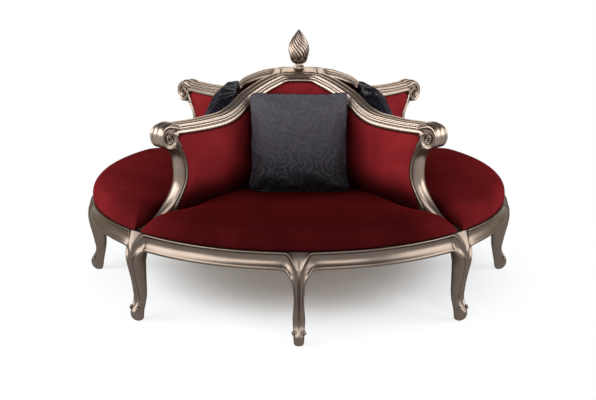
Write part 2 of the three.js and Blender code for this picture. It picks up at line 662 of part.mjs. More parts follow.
function backShape() {
  const foot = DECK_TOP + CLEARANCE;
  const armTop = lipHeight(ARM_REACH) - BACK_TOP_GAP;
  const edge = innerEdge();
  const levels = [0, ...edge.slice(1, -1).map(([z]) => (z - foot) / (armTop - foot)), 1];
  const ends = levels.map((level) => [level, between(edge, foot + level * (armTop - foot)) - OVERRUN]);
  const endTop = between(ends, 1);
  const wall = LIP_SHARES.map(([out], i) => (i ? out * ARM_REACH : endTop));
  wall.push(WALL_START);
  const rings = wall.map((nominal) => {
    const spread = (nominal - WALL_START) / (endTop - WALL_START);
    const hidden = WALL_START + spread * (BACK_HIDDEN_SHARE * ARM_REACH - WALL_START);
    return backRing(
      levels,
      lipHeight(nominal) - BACK_TOP_GAP,
      hidden,
      lipHeight(hidden) - BACK_HIDDEN_DROP,
      (level) => nominal + spread * (between(ends, level) - endTop),
      (reach, offset) => beside(1, reach, offset),
    );
  });
  TURN_LIP_SHARES.slice(1).forEach(([share], i) => {
    const facing = -QUARTER / 2 * (1 - (i + 1) / (TURN_LIP_SHARES.length - 1));
    const place = (reach, offset) => [
      ARCH_BACK + CROWN_TURN_RADIUS * (1 - Math.cos(facing)) + offset * Math.cos(facing),
      TURN_START - CROWN_TURN_RADIUS * Math.sin(facing) + offset * Math.sin(facing),
    ];
    const top = ARM_LIP_HEIGHT + share * ARCH_RISE - BACK_TOP_GAP;
    rings.push(backRing(levels, top, 0, top - BACK_HIDDEN_DROP, () => 0, place));
  });
  const middle = rings[rings.length - 1].map((p) => {
    const top = ARCH_LIP - BACK_TOP_GAP;
    const old = rings[rings.length - 1][2].z;
    return point(p.x, 0, foot + (p.z - foot) * (top - foot) / (old - foot));
  });
  const other = rings.map((ring) => ring.map((p) => point(p.x, -p.y, p.z))).reverse();
  return loft([...rings, middle, ...other]);
}

// Outline of a seat pad, anticlockwise, with how much each point belongs to the round front.
function seatOutline() {
  const front = ARCH_BACK + SEAT_SIDE;
  const radius = RIM_CLEAR - CLEARANCE;
  const tip = POST_SHARES[POST_SHARES.length - 1][4] * ARM_HALF + 2 * CLEARANCE;
  const knee = SEAT_SIDE_SHARES[SEAT_SIDE_SHARES.length - 1][0] * ARM_REACH;
  const side = SEAT_SIDE_SHARES.map(([share, slope]) => [
    ...beside(1, share * ARM_REACH, SEAT_SIDE), 0, slope,
  ]);
  SEAT_TAPER_SHARES.forEach(([share, blend, slope]) => {
    const reach = knee + share * (radius - knee);
    side.push([...beside(1, reach, SEAT_SIDE + share * (tip - SEAT_SIDE)), blend, slope]);
  });
  const arc = arcPoints(radius, tip, SEAT_ARC_POINTS).map(([x, y], i) => {
    const fromCorner = Math.min(i, SEAT_ARC_POINTS - i);
    const blend = fromCorner ? 1 : SEAT_CORNER_FRONT_SHARE;
    return [x, y, blend, SEAT_CORNER_SHARES[fromCorner] ?? 0];
  });
  const other = side.map(([x, y, ...rest]) => [x, -y, ...rest]).reverse();
  return [[front, -TURN_START, 0, 0], [front, TURN_START, 0, 0], ...side, ...arc, ...other];
}

function seatShape() {
  const outline = seatOutline();
  const centre = LEDGE_RADIUS * SEAT_CENTRE_SHARE;
  const foot = DECK_TOP + CLEARANCE;
  const rings = SEAT_RING_SHARES.map(([sideUp, sideIn, arcUp, arcIn, away]) => outline.map((at) => {
    const [x, y, blend, slope] = at;
    const up = sideUp + (arcUp - sideUp) * blend;
    const inset = (sideIn + (arcIn - sideIn) * blend + away * slope) * SEAT_EDGE;
    const share = inset / Math.hypot(centre - x, y);
    return point(x + (centre - x) * share, y - y * share, foot + up * (SEAT_HEIGHT - foot));
  }));
  return loft(rings);
}

// A loose cushion lying on its own middle plane: width along Y, height along Z, thickness along X.
function cushionShape() {
  const rings = [];
  const shares = [];
  for (let i = 0; i <= CUSHION_CELLS; i += 1) {
    shares.push(Math.sin(QUARTER * (2 * i / CUSHION_CELLS - 1)));
  }
  const at = (a, b, face) => {
    const swell = ((1 - a * a) * (1 - b * b)) ** CUSHION_SWELL_POWER;
    const half = (CUSHION_SEAM + (CUSHION_THICKNESS - CUSHION_SEAM) * swell) / 2;
    const drawA = 1 - CUSHION_DRAW_SHARE * (1 - b * b);
    const drawB = 1 - CUSHION_DRAW_SHARE * (1 - a * a);
    return point(face * half, a * drawA * CUSHION_WIDTH / 2, b * drawB * CUSHION_HEIGHT / 2);
  };
  shares.forEach((a) => {
    const near = shares.map((b) => at(a, b, 1));
    const far = shares.map((b) => at(a, b, -1)).reverse();
    rings.push([...near, ...far]);
  });
  return loft(rings);
}

// Assembly

const settee = new THREE.Group();

function put(parent, name, geometry, material) {
  const mesh = new THREE.Mesh(geometry, material);
  mesh.name = name;
  parent.add(mesh);
  return mesh;
}

// A cushion stands on the seat and leans back until its upper corners meet the two walls.
function placeCushion(cushion, lean) {
  const rise = CUSHION_HEIGHT / 2;
  const corner = CUSHION_WIDTH / 2 + ARM_HALF / DIAGONAL + 2 * CLEARANCE;
  const seam = CUSHION_SEAM / 2;
  cushion.position.set(
    corner + seam * Math.cos(lean) + rise * Math.sin(lean),
    0,
    SEAT_HEIGHT + CLEARANCE + seam * Math.sin(lean) + rise * Math.cos(lean),
  );
  cushion.rotation.y = -lean;
}

const shapes = {
  leg: legShape(),
  rail: railShape(),
  beam: beamShape(),
  deck: deckShape(),
  panel: panelShape(),
  post: postShape(),
  scroll: scrollShape(),
  crest: crestShape(),
  back: backShape(),
  seat: seatShape(),
  cushion: cushionShape(),
};

put(settee, 'hub_block', hubBlockShape(), frameWood);
put(settee, 'hub_post', hubPostShape(), frameWood);
put(settee, 'crown_block', crownShape(), leaf);
put(settee, 'finial', finialShape(), leaf);

LEG_NAMES.forEach((name, i) => {
  const spoke = new THREE.Group();
  spoke.rotation.z = i * LEG_ANGLE - QUARTER;
  settee.add(spoke);
  const next = LEG_NAMES[(i + 1) % LEG_COUNT];
  put(spoke, `leg_${name}`, shapes.leg, leaf);
  put(spoke, `seat_rail_${name}_to_${next}`, shapes.rail, leaf);
  if (i % 2) {
    put(spoke, `divider_beam_${name}`, shapes.beam, frameWood);
    put(spoke, `divider_panel_${name}`, shapes.panel, frameWood);
    put(spoke, `arm_post_${name}`, shapes.post, leaf);
    put(spoke, `arm_scroll_${name}`, shapes.scroll, leaf);
    return;
  }
  put(spoke, `seat_bearer_${name}`, shapes.beam, frameWood);
  put(spoke, `seat_deck_${name}`, shapes.deck, frameWood);
  put(spoke, `seat_pad_${name}`, shapes.seat, redFabric);
  put(spoke, `back_pad_${name}`, shapes.back, redFabric);
  put(spoke, `crest_rail_${name}`, shapes.crest, leaf);
  placeCushion(
    put(spoke, `scatter_cushion_${name}`, shapes.cushion, slateFabric),
    THREE.MathUtils.degToRad(CUSHION_LEANS[i / 2 % 2]),
  );
});

export default settee;
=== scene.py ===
# %% [markdown]
# # A round borne settee
# A borne is the round settee of hotel lobbies: four seats share one frame, and their backs cross
# under a finial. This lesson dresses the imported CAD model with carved, leafed wood, tight velvet
# and loose damask cushions. Sizes are written in millimetres and turned to metres once.

# %% Load the frame
import bpy
import bmesh
import math
from mathutils import Matrix, Vector


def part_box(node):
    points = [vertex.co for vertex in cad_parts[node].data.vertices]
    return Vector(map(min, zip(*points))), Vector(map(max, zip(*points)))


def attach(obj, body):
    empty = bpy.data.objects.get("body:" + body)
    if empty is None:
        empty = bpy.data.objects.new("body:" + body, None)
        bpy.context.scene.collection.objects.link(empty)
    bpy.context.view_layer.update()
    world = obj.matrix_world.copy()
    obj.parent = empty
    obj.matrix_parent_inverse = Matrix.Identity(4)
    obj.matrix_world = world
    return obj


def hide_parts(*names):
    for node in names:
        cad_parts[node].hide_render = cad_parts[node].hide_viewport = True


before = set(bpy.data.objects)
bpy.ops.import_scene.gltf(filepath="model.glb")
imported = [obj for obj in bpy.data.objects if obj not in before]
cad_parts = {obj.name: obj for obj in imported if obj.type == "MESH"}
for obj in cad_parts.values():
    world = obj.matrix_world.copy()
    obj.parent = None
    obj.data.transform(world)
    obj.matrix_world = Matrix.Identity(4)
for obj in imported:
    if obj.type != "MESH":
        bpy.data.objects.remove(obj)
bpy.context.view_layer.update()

MM = 0.001
QUARTER = math.pi / 2
DIAGONAL = math.sqrt(0.5)
DIRECTIONS = ["front", "front_right", "right", "back_right", "back", "back_left", "left", "front_left"]
SIDES = DIRECTIONS[0::2]
CORNERS = DIRECTIONS[1::2]


# %% [markdown]
# ## Camera
# The camera stands at eye height and looks down a little. A pinhole camera was fitted to the feet,
# the rim, the arms and the finial in the photograph, and this is its place, its angle and its lens.

# %% Camera
FOCAL_LENGTH = 69.28
SIDE_SHIFT = -0.0015
CAMERA_BACK = 5.41926
CAMERA_HEIGHT = 1.83347
CAMERA_TILT = 74.708
camera_data = bpy.data.cameras.new("camera")
camera_data.lens = FOCAL_LENGTH
camera_data.shift_x = SIDE_SHIFT
camera = bpy.data.objects.new("camera", camera_data)
camera.location = (0, -CAMERA_BACK, CAMERA_HEIGHT)
camera.rotation_euler = (math.radians(CAMERA_TILT), 0, 0)
bpy.context.scene.collection.objects.link(camera)
bpy.context.scene.camera = camera
bpy.context.scene.view_settings.view_transform = "Standard"
print("camera", CAMERA_BACK, "m in front of the axis")

# %% [markdown]
# ## Colours and nodes
# Every finish is a small tree of nodes. One function adds a node, sets it and links it, so that a
# material reads as a list of what lies on what. The size of a pattern is given in millimetres, as
# cloth, grain and leaf are measured: a noise or a cell repeats about once in 1 / Scale metres, and
# a wave once in 2 pi / 20 / Scale metres.

# %% Colours and nodes
def linear(hex_colour):
    """An sRGB hex colour as the linear values that a shader works with."""
    parts = [int(hex_colour[i:i + 2], 16) / 255 for i in (1, 3, 5)]
    return [c / 12.92 if c <= 0.04045 else ((c + 0.055) / 1.055) ** 2.4 for c in parts] + [1.0]


def emptied(owner):
    """The node tree of a material or a world, with nothing in it."""
    owner.use_nodes = True
    owner.node_tree.nodes.clear()
    return owner.node_tree


def new_material(name):
    """A material and its empty node tree."""
    material = bpy.data.materials.new(name)
    return material, emptied(material)


def node(tree, kind, settings=None, *values, **links):
    """Adds one node. A setting is an attribute, a socket's value or the stops of a colour ramp. Values
    fill the sockets in order, links name one, with _ for a blank, and a node lends its first output."""
    made = tree.nodes.new("ShaderNode" + kind)
    for key, value in (settings or {}).items():
        if key == "stops":
            elements = made.color_ramp.elements
            while len(elements) < len(value):
                elements.new(0.5)
            for element, (place, colour) in zip(elements, value):
                element.position = place
                element.color = linear(colour)
        elif hasattr(made, key):
            setattr(made, key, value)
        else:
            made.inputs[key].default_value = value
    sockets = [socket for socket in made.inputs if socket.enabled]
    named = {socket.name: socket for socket in reversed(sockets)}
    filled = list(zip(sockets, values)) + [(named[key.replace("_", " ")], links[key]) for key in links]
    for socket, source in filled:
        if isinstance(source, bpy.types.Node):
            source = next(output for output in source.outputs if output.enabled)
        if isinstance(source, bpy.types.NodeSocket):
            tree.links.new(source, socket)
        else:
            socket.default_value = source
    return made


# the operations that come up again and again
MULTIPLY_ADD = {"operation": "MULTIPLY_ADD"}
MULTIPLY = {"operation": "MULTIPLY"}
SCALE = {"operation": "SCALE"}


def per_metre(size):
    """The Scale at which a noise or a cell is this many millimetres across."""
    return 1 / (size * MM)


def bands(spacing):
    """The Scale at which the bands of a wave lie this many millimetres apart."""
    return math.pi / 10 / (spacing * MM)


# %% [markdown]
# ## Studio
# The photograph is a studio cut-out: white all round, a soft shadow under the legs, and long soft
# boxes that leave bright streaks on the leafed mouldings. So the floor and the air near the horizon
# are white to the camera and in reflections, and the air overhead is grey, which gives the metal
# something dark to mirror. To all other rays the floor is matt and the air only a faint fill. Near
# the legs the floor is a pale paint that takes the shadow, and further out it turns plain white.

# %% Floor and air
FLOOR_SIZE = 60
PAINT_ENDS = 0.4
WHITE_STARTS = 1.25


def direct_rays(tree):
    """1 for a ray from the camera, or one that a shiny or clear surface passed on."""
    rays = node(tree, "LightPath").outputs
    seen = node(tree, "Math", {"operation": "MAXIMUM"}, rays["Is Camera Ray"], rays["Is Glossy Ray"])
    return node(tree, "Math", {"operation": "MAXIMUM"}, seen, rays["Is Transmission Ray"])


bpy.ops.object.select_all(action="DESELECT")
bpy.ops.mesh.primitive_plane_add(size=FLOOR_SIZE)
floor = bpy.context.object
floor.name = "studio_floor"
floor_paint, tree = new_material("studio_floor_paint")
matt = node(tree, "BsdfDiffuse", {"Color": linear("#e6e6e6")})
pale = node(tree, "BsdfDiffuse", {"Color": linear("#eef6fc")})
glow = node(tree, "Emission", {"Color": linear("#ffffff"), "Strength": 0.03})
white = node(tree, "Emission", {"Color": linear("#ffffff"), "Strength": 1.0})
lifted = node(tree, "AddShader", {}, pale, glow)
reach = node(tree, "VectorMath", {"operation": "LENGTH"}, node(tree, "TexCoord").outputs["Object"])
far = node(tree, "MapRange", {"interpolation_type": "SMOOTHSTEP"}, reach, PAINT_ENDS, WHITE_STARTS)
cyclorama = node(tree, "MixShader", {}, far, lifted, white)
mixed = node(tree, "MixShader", {}, direct_rays(tree), matt, cyclorama)
node(tree, "OutputMaterial", {}, mixed)
floor.data.materials.append(floor_paint)

world = bpy.data.worlds.new("studio_air")
bpy.context.scene.world = world
tree = emptied(world)
up = node(tree, "SeparateXYZ", {}, node(tree, "TexCoord").outputs["Generated"]).outputs["Z"]
seen_air = node(tree, "ValToRGB", {"stops": [(0.3, "#ffffff"), (0.6, "#8a8a8c"), (1.0, "#707072")]}, up)
fill = node(tree, "Background", {"Color": linear("#c9c9cc"), "Strength": 0.13})
backdrop = node(tree, "Background", {"Strength": 1.0}, seen_air)
mixed = node(tree, "MixShader", {}, direct_rays(tree), fill, backdrop)
node(tree, "OutputWorld", {}, mixed)
print("floor", FLOOR_SIZE, "m wide, white from", WHITE_STARTS, "m")

# %% Lamps
# name, place, height of the point that it looks at, width and height of the box, watts
SOFT_BOXES = [
    ("box_left", (-4.4, -1.8, 2.8), 0.5, (5.0, 3.2), 320),
    ("box_right", (4.5, -1.2, 2.1), 0.5, (4.4, 3.0), 225),
    ("box_front_left", (-2.0, -4.7, 3.2), 0.7, (2.8, 1.8), 100),
    ("box_front_right", (1.9, -4.8, 3.1), 0.7, (2.6, 1.8), 90),
    ("box_back", (0, 3.8, 2.4), 0.7, (2.8, 1.8), 55),
]
for name, place, aim, size, power in SOFT_BOXES:
    lamp = bpy.data.lights.new(name, "AREA")
    lamp.shape = "RECTANGLE"
    lamp.size, lamp.size_y = size
    lamp.energy = power
    stand = bpy.data.objects.new(name, lamp)
    stand.location = place
    stand.rotation_euler = (Vector((0, 0, aim)) - Vector(place)).to_track_quat("-Z", "Y").to_euler()
    bpy.context.scene.collection.objects.link(stand)
print("lamps", [row[0] for row in SOFT_BOXES])

# %% [markdown]
# ## Tools for carving
# A moulding, a leg or a pillow is one closed body whose section changes along its run. By hand, it
# is pulled out of a polygon: extrude the face, move its corners to the next section, and again.
# `pull` does that with a circle primitive and Blender's own extrude. The places are worked out
# from short tables in millimetres, read on a smooth curve. A map called run is laid along the pull,
# so that the leaf can follow the surface.

# %% Reading tables
def passed(value, start, end):
    """How far a value has got from start to end, from 0 to 1."""
    return min(1, max(0, (value - start) / (end - start)))


def smooth_rows(rows, steps):
    """Rows of numbers read on a smooth curve through them, with this many steps between two rows."""
    made = []
    for k in range(len(rows) - 1):
        a, b = rows[k], rows[k + 1]
        before = rows[k - 1] if k else [2 * p - q for p, q in zip(a, b)]
        after = rows[k + 2] if k + 2 < len(rows) else [2 * q - p for p, q in zip(a, b)]
        for i in range(steps):
            t = i / steps
            weights = (2 * t ** 2 - t - t ** 3, 2 - 5 * t ** 2 + 3 * t ** 3,
                       t + 4 * t ** 2 - 3 * t ** 3, t ** 3 - t ** 2)
            columns = zip(before, a, b, after)
            made.append([sum(w * v for w, v in zip(weights, column)) / 2 for column in columns])
    made.append(list(rows[-1]))
    return made


def read(rows, place):
    """The values beside a place in rows that start with a rising or falling place."""
    for a, b in zip(rows, rows[1:]):
        if (place - a[0]) * (place - b[0]) <= 0 and a[0] != b[0]:
            t = (place - a[0]) / (b[0] - a[0])
            return [p + (q - p) * t for p, q in zip(a[1:], b[1:])]
    near = rows[0] if abs(place - rows[0][0]) < abs(place - rows[-1][0]) else rows[-1]
    return list(near[1:])


def both_halves(half):
    """A half section and its mirror image across the XZ plane, without the points on that plane."""
    return half + [(x, -y, *rest) for x, y, *rest in reversed(half) if y]


# %% Selecting and finishing
def only(piece):
    """Leaves edit mode and selects one piece alone."""
    if bpy.context.mode != "OBJECT":
        bpy.ops.object.mode_set(mode="OBJECT")
    bpy.ops.object.select_all(action="DESELECT")
    if piece:
        piece.select_set(True)
        bpy.context.view_layer.objects.active = piece


def select_faces(piece, wanted):
    """Opens a piece in edit mode with the faces selected that the test wants."""
    only(piece)
    bpy.ops.object.mode_set(mode="EDIT")
    bpy.ops.mesh.select_mode(type="FACE")
    bpy.ops.mesh.select_all(action="DESELECT")
    mesh = bmesh.from_edit_mesh(piece.data)
    for face in mesh.faces:
        face.select_set(wanted(face))
    bmesh.update_edit_mesh(piece.data)


def face_outwards(piece, merge=None):
    """Merges corners nearer than this many millimetres, if given, and turns every face outwards."""
    only(piece)
    bpy.ops.object.mode_set(mode="EDIT")
    bpy.ops.mesh.select_all(action="SELECT")
    if merge:
        bpy.ops.mesh.remove_doubles(threshold=merge * MM)
    bpy.ops.mesh.normals_make_consistent(inside=False)
    bpy.ops.object.mode_set(mode="OBJECT")


def use(piece, kind, **settings):
    """Adds one modifier with its settings and applies it."""
    only(piece)
    modifier = piece.modifiers.new(kind.lower(), kind)
    for key, value in settings.items():
        setattr(modifier, key, value)
    bpy.ops.object.modifier_apply(modifier=modifier.name)


def soften(piece, angle=None):
    """Shades the piece smooth, up to an angle in degrees where one is given."""
    only(piece)
    if angle:
        bpy.ops.object.shade_smooth_by_angle(angle=math.radians(angle))
    else:
        bpy.ops.object.shade_smooth()


# %% Pulling a body
CLOSING_EDGE = 2


def pull(name, sections, angle=None):
    """One closed body through sections, each a list of points in millimetres, with edges up to an
    angle in degrees shaded smooth where one is given."""
    only(None)
    count = len(sections[0])
    bpy.ops.mesh.primitive_circle_add(vertices=count, radius=1, fill_type="NGON")
    piece = bpy.context.object
    piece.name = piece.data.name = name
    for corner, place in zip(piece.data.vertices, sections[0]):
        corner.co = Vector(place) * MM
    bpy.ops.object.mode_set(mode="EDIT")
    ring = list(range(count))
    rings = [ring]
    for section in sections[1:]:
        bpy.ops.mesh.extrude_region_move()
        mesh = bmesh.from_edit_mesh(piece.data)
        mesh.verts.ensure_lookup_table()
        following = []
        for old in ring:
            corner = mesh.verts[old]
            ends = [edge.other_vert(corner) for edge in corner.link_edges]
            following.append(next(end.index for end in ends if end.select))
        for corner, place in zip(following, section):
            mesh.verts[corner].co = Vector(place) * MM
        ring = following
        rings.append(ring)
    lay_run_map(piece, rings)
    face_outwards(piece)
    if angle:
        soften(piece, angle)
    return piece


def lay_run_map(piece, rings):
    """The map called run: metres along the pull, and metres round the section."""
    mesh = bmesh.from_edit_mesh(piece.data)
    mesh.verts.ensure_lookup_table()
    layer = mesh.loops.layers.uv.get("run") or mesh.loops.layers.uv.new("run")
    where = {}
    along = 0
    count = len(rings[0])
    for k, ring in enumerate(rings):
        if k:
            along += (mesh.verts[ring[0]].co - mesh.verts[rings[k - 1][0]].co).length
        around = 0
        for j, index in enumerate(ring):
            if j:
                around += (mesh.verts[index].co - mesh.verts[ring[j - 1]].co).length
            where[index] = (along, around, j)
    for face in mesh.faces:
        ends = [where[corner.index][1] for corner in face.verts if where[corner.index][2] == count - 1]
        for loop in face.loops:
            along, around, j = where[loop.vert.index]
            if ends and j == 0 and len(face.verts) == 4:
                around = ends[0] + CLOSING_EDGE * MM
            loop[layer].uv = (along, around)


def ball(centre, radii, segments, rings):
    """A ball pressed to three radii, in millimetres."""
    only(None)
    bpy.ops.mesh.primitive_uv_sphere_add(segments=segments, ring_count=rings, radius=1)
    piece = bpy.context.object
    pressed = Matrix.Diagonal((*(radius * MM for radius in radii), 1))
    piece.data.transform(Matrix.Translation(Vector(centre) * MM) @ pressed)
    piece.data.uv_layers[0].name = "run"
    return piece


# %% Joining, copying and dressing
dressed = []


def joined(pieces, name):
    """Several pieces as one object."""
    only(pieces[0])
    for piece in pieces:
        piece.select_set(True)
    bpy.ops.object.join()
    whole = bpy.context.object
    whole.name = whole.data.name = name
    return whole


def copied(piece, name, place):
    """A copy with its own mesh, moved by a matrix."""
    only(piece)
    bpy.ops.object.duplicate(linked=False)
    twin = bpy.context.object
    twin.name = twin.data.name = name
    twin.data.transform(place)
    return twin


def turned(piece, name, eighths):
    """A copy of a piece that faces +X, turned from the front by eighths of a full turn."""
    return copied(piece, name, Matrix.Rotation((eighths / 2 - 1) * QUARTER, 4, "Z"))


def dress(piece, material, body, slot, *nodes):
    """Gives a finished piece its material and its body, and hides the CAD nodes that it stands for."""
    piece.data.materials.clear()
    piece.data.materials.append(material)
    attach(piece, body)
    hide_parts(*nodes)
    dressed.append(piece)


def spread(pattern, material, slot, directions, name, cad_node):
    """Copies a pattern piece that faces +X to each direction, and removes it. The blank in a name is
    the direction, and a second blank the next direction round."""
    for direction in directions:
        i = DIRECTIONS.index(direction)
        twin = turned(pattern, name.format(direction), i)
        dress(twin, material, "settee", slot, cad_node.format(direction, DIRECTIONS[(i + 1) % 8]))
    print(pattern.name, "copied", len(directions), "times,", len(pattern.data.polygons), "faces")
    bpy.data.objects.remove(pattern)


# %% [markdown]
# ## Leafed wood
# The frame is beech, carved, primed with gesso and laid with thin leaf of a silver and brass alloy.
# It is brushed with brown wax that stays in the hollows, and lacquered. To the eye it is a pale
# champagne metal with long soft highlights and brown valleys, a little cloudy, with a faint streak
# along each run. Low down, on the rails and legs, it is painted darker, as painted shade. Ambient
# occlusion finds the hollows: it is 1 in the open and falls where the carving closes in.

# %% Leaf material
# millimetres: how near a hollow closes in, a cloud, a streak along the run and round it, a grain
HOLLOW_REACH = 16
CLOUD = 111
STREAK = (200, 11.1, 1000)
GESSO_GRAIN = 11.1


def make_leaf():
    """The leafed wood, whose value called clear is 1 on an open surface and 0 deep in a hollow."""
    material, tree = new_material("champagne_metal_leaf_waxed_over_carved_beech")
    place = node(tree, "TexCoord").outputs["Object"]
    shade = node(tree, "AmbientOcclusion",
                 {"samples": 8, "only_local": True, "Distance": HOLLOW_REACH * MM}).outputs["AO"]
    clear = node(tree, "ValToRGB",
                 {"stops": [(0.06, "#000000"), (0.24, "#a8a8a8"), (0.5, "#ffffff")]}, shade)
    cloud = node(tree, "TexNoise",
                 {"Scale": per_metre(CLOUD), "Detail": 4.0, "Roughness": 0.6}, Vector=place)
    stretch = node(tree, "Mapping", {"Scale": [per_metre(size) for size in STREAK]},
                   node(tree, "UVMap", {"uv_map": "run"}))
    streak = node(tree, "TexNoise", {"Scale": 1.0, "Detail": 2.0, "Roughness": 0.5}, Vector=stretch)
    tone = node(tree, "Math", MULTIPLY_ADD, streak, 0.12, 0.27)
    tone = node(tree, "Math", MULTIPLY_ADD, cloud, 0.6, tone)
    metal = node(tree, "ValToRGB",
                 {"stops": [(0.35, "#948275"), (0.6, "#a39285"), (0.85, "#b1a195")]}, tone)
    height = node(tree, "SeparateXYZ", {}, place).outputs["Z"]
    # painted shade: below 0.7 m the leaf is painted darker, most of all on the rails and legs
    painted_low_shade = node(tree, "MapRange",
                   {"From Min": 0.38, "From Max": 0.7, "To Min": 0.36, "To Max": 0.68}, height)
    toned = node(tree, "VectorMath", SCALE, metal, Scale=painted_low_shade)
    waxed = node(tree, "Mix", {"data_type": "RGBA"}, clear, linear("#3d3029"), toned)
    polish = node(tree, "MapRange", {"To Min": 0.4, "To Max": 0.25}, clear)
    rough = node(tree, "Math", MULTIPLY_ADD, cloud, 0.08, polish)
    bare = node(tree, "MapRange", {"To Min": 0.35, "To Max": 0.96}, clear)
    gesso = node(tree, "TexNoise", {"Scale": per_metre(GESSO_GRAIN), "Detail": 2.0}, Vector=place)
    bump = node(tree, "Bump", {"Strength": 0.06, "Distance": 0.8 * MM}, Height=gesso)
    shader = node(tree, "BsdfPrincipled", {"Specular Tint": linear("#bdb5ac")},
                  Base_Color=waxed, Metallic=bare, Roughness=rough, Normal=bump)
    node(tree, "OutputMaterial", {}, shader)
    return material


leaf = make_leaf()
print("leaf", len(leaf.node_tree.nodes), "nodes")

# %% [markdown]
# ## Seat rails
# The rim of each seat is a curved rail: a thin bead under the cloth, a hollow, and a second bead at
# the foot. It is turned on a big lathe in one ring and sawn between the legs, so the section is
# pulled round the axis. Its foot drops a little at both ends, where it meets the leg's edge.

# %% Rail
FOOT_CIRCLE = 1000
BLOCK_HALF = 56
LEG_ANGLE = math.atan(BLOCK_HALF / FOOT_CIRCLE)
RIM = 402
RAIL_FOOT = 327.4
# distance from the axis and height, down the moulded front and up the plain back
RAIL_FRONT = [
    (988.8, 402), (991.6, 401.3), (993.3, 399.2), (993.4, 396.2), (991.8, 393.4), (988, 391),
    (985.6, 386.4), (984.8, 377.5), (986.4, 366.5), (990.8, 355.6), (997.2, 346.6), (1001.2, 342.4),
    (1003.8, 339.4), (1005, 335), (1004.2, 331), (1001.6, 328.2), (997.8, 327.4),
]
RAIL_BACK = [
    (975, 327.8), (950, 330), (945.2, 334), (945.2, 384), (948, 386.1), (982.3, 386.1), (982.6, 402),
]
RAIL_STEPS = 34
RAIL_GAP = 0.0003
CROWDING = 0.11
ELBOW_DROP = 8.5
ELBOW_RUN = 13
sections = []
for i in range(RAIL_STEPS + 1):
    along = i / RAIL_STEPS
    along -= CROWDING * math.sin(2 * math.pi * along)
    angle = LEG_ANGLE + RAIL_GAP + (QUARTER / 2 - 2 * (LEG_ANGLE + RAIL_GAP)) * along
    near = FOOT_CIRCLE * min(angle - LEG_ANGLE, QUARTER / 2 - LEG_ANGLE - angle)
    stretch = 1 + ELBOW_DROP * math.exp(-near / ELBOW_RUN) / (RIM - RAIL_FOOT)
    sections.append([
        (r * math.cos(angle), r * math.sin(angle), RIM - (RIM - z) * stretch)
        for r, z in RAIL_FRONT + RAIL_BACK
    ])
rail = pull("rail_pattern", sections, 50)
spread(rail, leaf, "leafed_wood", DIRECTIONS, "carved_seat_rail_{}", "seat_rail_{}_to_{}")

# %% [markdown]
# ## Legs
# A cabriole leg swings out at the knee, in at the ankle and out again at the toe. Here the mouldings
# of the two rails turn down into it: their upper beads meet in a point under a small shield and run
# down the middle as a ridge, and the lower beads become the leg's edges. One half is pulled from
# the toe up and round into the rail's end, and the Mirror modifier makes the other half.

# %% Half a leg
# height, front, back, half width
LEG_ROWS = smooth_rows([
    (0, 1007, 980, 14), (4, 1014, 976, 18.5), (14, 1024, 973, 21.5), (28, 1030, 971, 22.5),
    (42, 1031, 969, 23), (56, 1026, 966, 23.5), (70, 1017, 963, 24.5), (94, 1006, 958.5, 26.5),
    (116, 1005, 954.5, 26.8), (137, 1009.5, 952, 25.4), (170, 1016.5, 950.5, 22.8),
    (201, 1024, 950.4, 22), (222, 1029, 951, 23.2), (240, 1032.5, 951.6, 25),
], 2)
# along the half section: part of the half width, part of the depth lost at the front
LEG_FACE = [
    (0, 0), (0.03, 0.005), (0.06, 0.022), (0.1, 0.055), (0.16, 0.095), (0.23, 0.125), (0.31, 0.145),
    (0.4, 0.155), (0.49, 0.155), (0.58, 0.145), (0.66, 0.13), (0.73, 0.112), (0.79, 0.102),
    (0.85, 0.108), (0.905, 0.138), (0.95, 0.195), (0.985, 0.29), (1, 0.42), (0.99, 0.58), (0.95, 0.74),
    (0.84, 0.9), (0.5, 1), (0, 1),
]
TOE_TOP = 46
CARVED_FROM = 76
TOE_ROUND = 0.42
half_sections = []
for z, front, back, wide in LEG_ROWS:
    carved = passed(z, TOE_TOP, CARVED_FROM)
    row = []
    for part, lost in LEG_FACE:
        if lost <= TOE_ROUND:
            lost = carved * lost + (1 - carved) * TOE_ROUND * (1 - math.sqrt(1 - part * part))
        row.append((wide * part, z, front - (front - back) * lost))
    half_sections.append(row)

# %% The elbow into the rail
LEG_TOP = 240
LEG_HALF = 25
SHIELD_FOOT = 318
SHIELD_EDGE = 6
RIM_RADIUS = 990
BLOCK_DEPTH = 84
TUCK_RADIUS = 944
PANEL_POINTS = 3
ELBOW_STEPS = 13
SPLIT = 0.38
BOW = 0.8
# height and distance from the axis of the ridge, from the leg to the rim
FRONT_ROWS = [
    (240, 1032.5), (252, 1034.5), (275, 1036.5), (299, 1035), (325, 1030), (356, 1019), (381, 1005.5),
    (402, 990),
]
# the underside and back of the block: share of the half width, distance from the axis, share of the height
BLOCK_BACK = [(0.75, 960, 0.1), (0.4, 946, 0.45), (0, 945, 0.8)]


